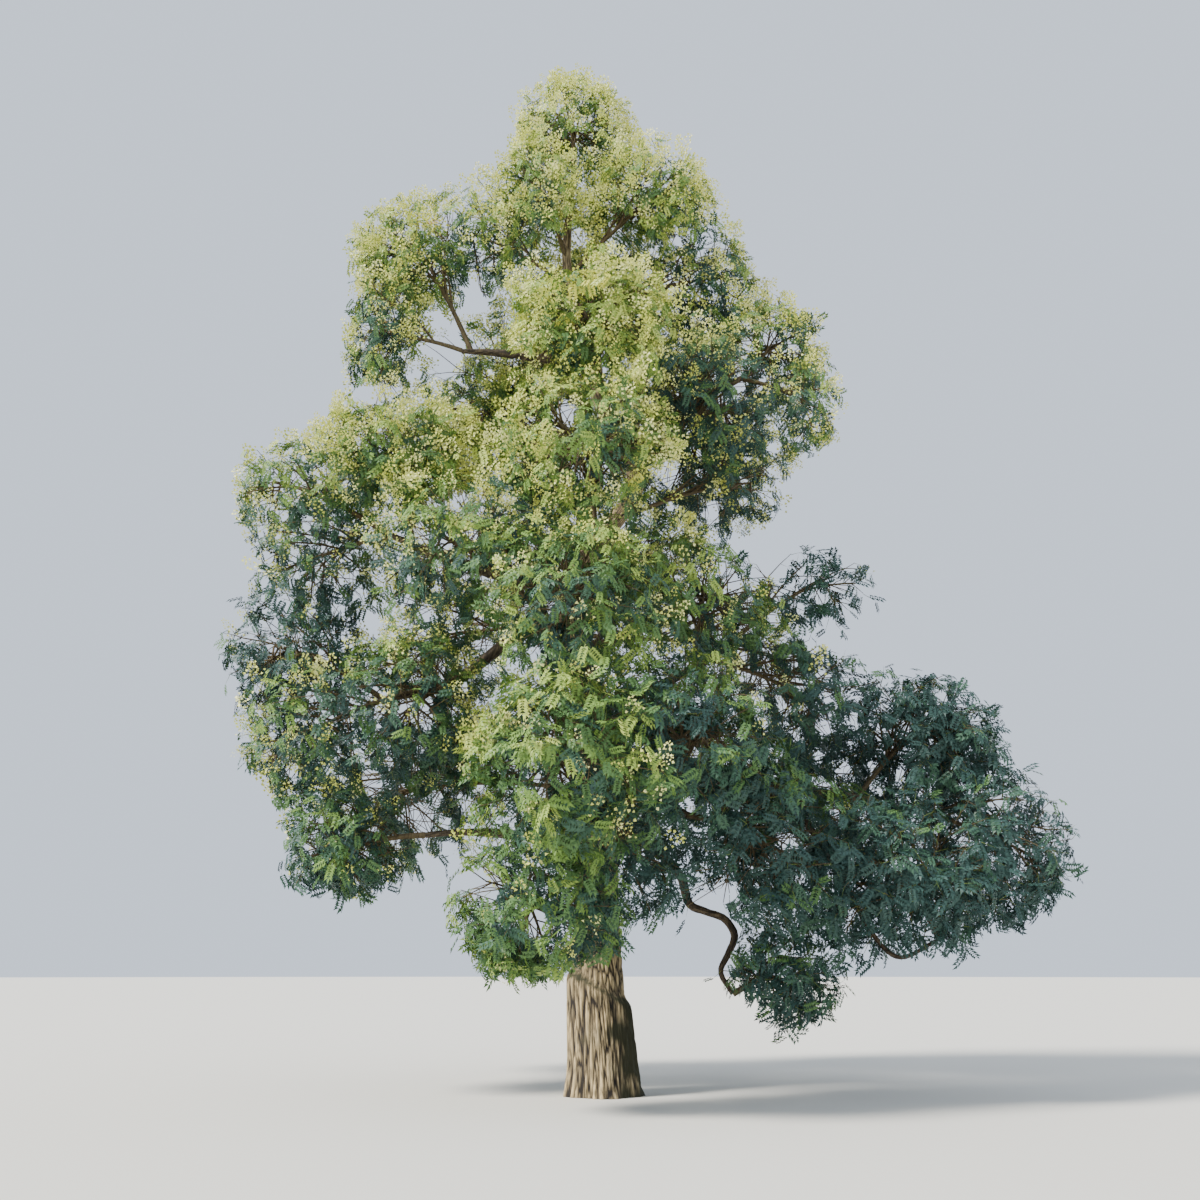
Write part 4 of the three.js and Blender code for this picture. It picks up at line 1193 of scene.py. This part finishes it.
count = len(shoots["owner"])
spray = np.repeat(np.arange(count), SPRAYS_ON_SHOOT)
owner = shoots["owner"][spray]
share = BLOSSOM["first"] + (1 - BLOSSOM["first"]) * chance.random(len(spray))
root = shoots["start"][spray] + (shoots["tip"] - shoots["start"])[spray] * share[:, None]
direction = shoots["direction"][spray] * BLOSSOM_WAY["onward"] + away[spray] * BLOSSOM_WAY["out"]
direction = direction + UP * BLOSSOM_WAY["up"] + thrown(len(spray)) * BLOSSOM_WAY["astray"]
direction = unit(direction)
face = unit(np.cross(direction, BESIDE))
length = some_lengths(BLOSSOM, len(spray))
tips = root + direction * length[:, None]
reach = EDGE["reach"] + EDGE["astray"] * chance.random(len(tips))
blooming = (chance.random(len(spray)) < likely[spray]) & (crown_depth(tips) < reach)
blooming &= np.all((tips > low) & (tips < high), axis=1) & ~in_opening(tips, owner)
blossoms = only(blooming, root=root, direction=direction, face=face, length=length)
blossoms |= only(blooming, owner=owner, spray=spray)
print("sprays of blossom:", int(blooming.sum()), "faces:", int(blooming.sum()) * len(blossom_faces))

# %% [markdown]
# ## Colours of leaves and blossom
#
# The sunny top of the crown is yellowish green and the shaded lower right is deep and bluish. Leaves
# vary from spray to spray. A texture could colour them, but each whole spray is dealt one of a few
# plain colours instead, because that keeps a leaf's edges clean: its mass's tint, shifted a little by
# chance, lighter where the way out of the crown points up, as painted light, and darker the deeper
# inside it grows, as painted shade. A few are golden or dry. Leaves and petals share one effect, a
# gloss that varies over the crown, which a node group holds.

# %% Gloss of leaves and petals
GLOSS = {"scale": 9, "detail": 2, "from": 0.3, "to": 0.7}

leaf_gloss = bpy.data.node_groups.new("leaf_gloss", "ShaderNodeTree")
for name, direction in (("Glossiest", "INPUT"), ("Dullest", "INPUT"), ("Roughness", "OUTPUT")):
    group_socket(leaf_gloss, name, direction, "NodeSocketFloat")
nodes, links = leaf_gloss.nodes, leaf_gloss.links
inputs = nodes.new("NodeGroupInput")
outputs = nodes.new("NodeGroupOutput")
place = nodes.new("ShaderNodeTexCoord").outputs["Object"]
gloss = noise_node(nodes, links, place, GLOSS["scale"], GLOSS["detail"]).outputs["Fac"]
gloss = stretch_range(nodes, links, gloss, GLOSS["from"], GLOSS["to"])
links.new(inputs.outputs["Glossiest"], gloss.node.inputs["To Min"])
links.new(inputs.outputs["Dullest"], gloss.node.inputs["To Max"])
links.new(gloss, outputs.inputs["Roughness"])
print("leaf gloss nodes:", len(nodes))

# %% Leaf and blossom materials
LEAF_COLOURS = ["2f4a44", "3a5a46", "4c6d3b", "6b893f", "8fa54c", "b2bf60"]
GOLDEN, DRY = "c6c552", "9a7b45"
BLOSSOM_COLOURS = ["d2d76c", "dfe180", "eaeb9e"]
SHOOT_COLOUR = "6f7f3a"
LEAF_ROUGHNESS = (0.42, 0.62)
LEAF_SHINE = 0.3


def leaf_material(name, code):
    """A plain leaf colour with a gloss that varies a little over the crown."""
    material = plain_material(name, from_hex(code), LEAF_ROUGHNESS[0])
    nodes, links = material.node_tree.nodes, material.node_tree.links
    shader = nodes["Principled BSDF"]
    shader.inputs["Specular IOR Level"].default_value = LEAF_SHINE
    gloss = nodes.new("ShaderNodeGroup")
    gloss.node_tree = leaf_gloss
    for socket, roughness in zip(("Glossiest", "Dullest"), LEAF_ROUGHNESS):
        gloss.inputs[socket].default_value = roughness
    links.new(gloss.outputs["Roughness"], shader.inputs["Roughness"])
    return material


leaf_materials = [leaf_material(f"leaf_{i}", code) for i, code in enumerate(LEAF_COLOURS)]
leaf_materials += [leaf_material("leaf_golden", GOLDEN), leaf_material("leaf_dry", DRY)]
blossom_materials = [leaf_material(f"blossom_{i}", code) for i, code in enumerate(BLOSSOM_COLOURS)]
shoot_material = leaf_material("green_shoot", SHOOT_COLOUR)
print("leaf colours:", len(leaf_materials), "blossom colours:", len(blossom_materials))

# %% Dealing out the colours
# Where golden sprays grow: a middle and a radius.
GOLDEN_PATCHES = [
    ((0.15, -3.3, 7.6), 0.35),
    ((0.75, -2.6, 7.7), 0.3),
    ((1.3, -2.2, 7.5), 0.3),
    ((-0.3, -2.9, 10.6), 0.5),
]
GOLDEN_SHARE = 0.45
DRY_SHARE = 0.0008
# How much the tint changes: by chance, lighter on top of a mass as painted light, by patches of the
# crown, and darker further inside as painted shade.
TINT_CHANGE = {"chance": 0.42, "top": 0.14, "patches": 0.12, "inside": 0.7}
TINT_PATCH_SIZE = 1.3
FULL_LIGHT = 0.85  # depth in the crown from which leaves have their full tint

count = len(shoots["owner"])
tint = TINTS[shoots["owner"]] + (chance.random(count) - 0.5) * TINT_CHANGE["chance"]
# Painted light: sprays where the way out of the crown points up get a lighter tint.
tint += TINT_CHANGE["top"] * away[:, 2]
patches = TINT_CHANGE["patches"] * patchy(shoots["tip"], TINT_PATCH_SIZE)
# Patches of the crown shift the tint. As painted shade, sprays deeper inside than FULL_LIGHT get a darker
# one.
tint += patches + TINT_CHANGE["inside"] * np.minimum(shoot_depth - FULL_LIGHT, 0)
spray_colour = np.clip((tint * len(LEAF_COLOURS)).astype(int), 0, len(LEAF_COLOURS) - 1)
for middle, patch_radius in GOLDEN_PATCHES:
    near = np.linalg.norm(shoots["tip"] - middle, axis=1) < patch_radius
    spray_colour[near & (chance.random(count) < GOLDEN_SHARE)] = len(LEAF_COLOURS)
spray_colour[chance.random(count) < DRY_SHARE] = len(LEAF_COLOURS) + 1
blossom_colour = chance.integers(0, len(BLOSSOM_COLOURS), count)
print("sprays by colour:", np.bincount(spray_colour).tolist())


# %% [markdown]
# ## Joining leaves and blossom into pieces
#
# Forty thousand leaves as objects would be very slow, and particles don't survive an export. Here
# numpy copies the one leaf to all its places at once, and each part of the crown becomes one mesh
# whose faces have their spray's material. The same is done with the blossom.


# %% Copying a template
def copies(corners, faces, placed, chosen):
    """The corners and faces of a template, copied to the chosen places."""
    ahead = placed["direction"][chosen]
    face = placed["face"][chosen]
    aside = np.cross(face, ahead)
    turn = np.stack([ahead, aside, face], axis=1) * placed["length"][chosen][:, None, None]
    points = np.einsum("ka,nab->nkb", corners, turn) + placed["root"][chosen][:, None]
    shifts = np.arange(len(points))[:, None, None] * len(corners)
    return points.reshape(-1, 3), (faces[None] + shifts).reshape(-1, 3)


lone_leaf = copies(leaf_corners, leaf_faces, leaves, [0])[0]
print("size of a leaf:", np.ptp(lone_leaf, axis=0).round(2).tolist(), "m")


# %% Leaf and blossom pieces
def mesh_from(name, points, faces, colours, materials):
    """A mesh of triangles, each with its own material."""
    mesh = bpy.data.meshes.new(name)
    mesh.vertices.add(len(points))
    mesh.vertices.foreach_set("co", points.astype(np.float32).ravel())
    mesh.loops.add(faces.size)
    mesh.loops.foreach_set("vertex_index", faces.astype(np.int32).ravel())
    mesh.polygons.add(len(faces))
    mesh.polygons.foreach_set("loop_start", np.arange(0, faces.size, 3, dtype=np.int32))
    mesh.polygons.foreach_set("material_index", colours.astype(np.int32))
    for material in materials:
        mesh.materials.append(material)
    mesh.update(calc_edges=True)
    return mesh


def foliage_piece(name, mesh, part):
    """A piece of foliage that stands for all masses of a part of the crown."""
    piece = new_object(name, mesh)
    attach(piece, "root")
    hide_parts(*[mass for mass, its_part in zip(NAMES, PARTS) if its_part == part])
    return piece


part_of_mass = np.array([PART_NAMES.index(part) for part in PARTS])
for number, part in enumerate(PART_NAMES):
    chosen = np.flatnonzero(part_of_mass[leaves["owner"]] == number)
    points, faces = copies(leaf_corners, leaf_faces, leaves, chosen)
    colours = np.repeat(spray_colour[leaves["spray"][chosen]], len(leaf_faces))
    mesh = mesh_from("leaves_" + part, points, faces, colours, leaf_materials)
    piece = foliage_piece("leaves_" + part, mesh, part)
    chosen = np.flatnonzero(part_of_mass[blossoms["owner"]] == number)
    print(part, "leaves:", len(faces), "faces;", "blossom:", len(chosen) * len(blossom_faces))
    if len(chosen) == 0:
        continue
    points, faces = copies(blossom_corners, blossom_faces, blossoms, chosen)
    colours = np.repeat(blossom_colour[blossoms["spray"][chosen]], len(blossom_faces))
    mesh = mesh_from("blossom_" + part, points, faces, colours, blossom_materials)
    foliage_piece("blossom_" + part, mesh, part)

# %% [markdown]
# ## The wood inside the foliage
#
# Stems, branches and twigs are thin three-sided rods, and the green shoots are thin three-sided
# points. A curve with a bevel would make rounder ones, but nobody sees that inside the leaves, and
# it would cost many faces. They are joined, like the leaves, into one piece for each part of the
# crown. Twigs without leaves would stand bare in the gaps, so each twig ends at its last leafy shoot,
# and each branch at its last such twig.


# %% How far wood carries leaves
def farthest_carried(count, carried, leafy):
    """The share of its length at which each of a number of limbs carries its last leafy part."""
    farthest = np.zeros(count)
    np.maximum.at(farthest, carried["carrier"][leafy], carried["share"][leafy])
    return farthest


def cut_short(curve, share):
    """The starts, bends and ends of curves that are cut off at a share of their length."""
    start, bend, end = curve
    share = share[:, None]
    return start, start + (bend - start) * share, quadratic(start, bend, end, share)


TWIG_RISE = 0.06  # how much a twig bows up, as a share of its length

leafy = np.zeros(len(shoots["owner"]), bool)
leafy[leaves["spray"]] = True
leafy[blossoms["spray"]] = True
twig_reach = farthest_carried(len(twigs["owner"]), shoots, leafy)
branch_reach = farthest_carried(len(branches["owner"]), twigs, twig_reach > 0)
twig_end = twigs["start"] + twigs["direction"] * twigs["length"][:, None]
twig_bend = (twigs["start"] + twig_end) / 2 + UP * TWIG_RISE * twigs["length"][:, None]
stem_curves = [np.array([stem[i] for stem in stems]) for i in range(3)]
branch_curves = cut_short([branches[key] for key in ("start", "bend", "end")], branch_reach)
twig_curves = cut_short([twigs["start"], twig_bend, twig_end], twig_reach)
print("leafy twigs:", int((twig_reach > 0).sum()), "branches:", int((branch_reach > 0).sum()))


# %% Rods
ROD_SIDES = 3
BRANCH_STEPS = 4
TWIG_STEPS = 2


def rods(start, end, thick, thin):
    """The corners and faces of three-sided rods from start to end. Where thin is 0 they are points."""
    heading = unit(end - start)
    count = len(start)
    turns = [np.full(count, 2 * math.pi * side / ROD_SIDES) for side in range(ROD_SIDES)]
    spokes = np.stack([sideways(heading, turn) for turn in turns], axis=1)
    thick_ring = start[:, None] + spokes * thick[:, None, None]
    thin_ring = end[:, None] + spokes * thin[:, None, None]
    corners = np.concatenate([thick_ring, thin_ring], axis=1)
    faces = []
    for side in range(ROD_SIDES):
        after = (side + 1) % ROD_SIDES
        faces.append((side, side + ROD_SIDES, after))
        if thin.max() > 0:
            faces.append((after, side + ROD_SIDES, after + ROD_SIDES))
    shifts = np.arange(count)[:, None, None] * 2 * ROD_SIDES
    return corners.reshape(-1, 3), (np.array(faces)[None] + shifts).reshape(-1, 3)


def curved_rods(start, bend, end, thick, thin, steps):
    """Starts, ends and radii of the straight rods that make up curved ones."""
    share = np.linspace(0, 1, steps + 1)
    spots = [quadratic(start, bend, end, s) for s in share]
    radii = [np.full(len(start), thick + (thin - thick) * s) for s in share]
    return [np.concatenate(ends) for ends in (spots[:-1], spots[1:], radii[:-1], radii[1:])]


print("faces in a straight rod:", 2 * ROD_SIDES)

# %% Wood pieces
BRANCH_RADIUS = (0.022, 0.011)
TWIG_RADIUS = (0.01, 0.005)
SHOOT_RADIUS = 0.0045

for number, part in enumerate(PART_NAMES):
    of_stem = np.flatnonzero(part_of_mass == number)
    of_branch = np.flatnonzero((part_of_mass[branches["owner"]] == number) & (branch_reach > 0))
    of_twig = np.flatnonzero((part_of_mass[twigs["owner"]] == number) & (twig_reach > 0))
    of_shoot = np.flatnonzero((part_of_mass[shoots["owner"]] == number) & leafy)
    runs = [
        curved_rods(*(points[chosen] for points in curves), *radii, steps)
        for curves, chosen, radii, steps in (
            (stem_curves, of_stem, (STEM["base"], STEM["tip"]), STEM["steps"]),
            (branch_curves, of_branch, BRANCH_RADIUS, BRANCH_STEPS),
            (twig_curves, of_twig, TWIG_RADIUS, TWIG_STEPS),
        )
    ]
    shoot_run = (
        shoots["start"][of_shoot],
        shoots["tip"][of_shoot],
        np.full(len(of_shoot), SHOOT_RADIUS),
        np.zeros(len(of_shoot)),
    )
    all_points, all_faces, all_colours, total = [], [], [], 0
    for colour, run in [*((0, run) for run in runs), (1, shoot_run)]:
        points, faces = rods(*run)
        all_points.append(points)
        all_faces.append(faces + total)
        all_colours.append(np.full(len(faces), colour))
        total += len(points)
    points, faces, colours = (np.concatenate(a) for a in (all_points, all_faces, all_colours))
    mesh = mesh_from("twigs_" + part, points, faces, colours, [twig_bark, shoot_material])
    piece = foliage_piece("twigs_" + part, mesh, part)
    print(part, "twigs:", len(faces), "faces")
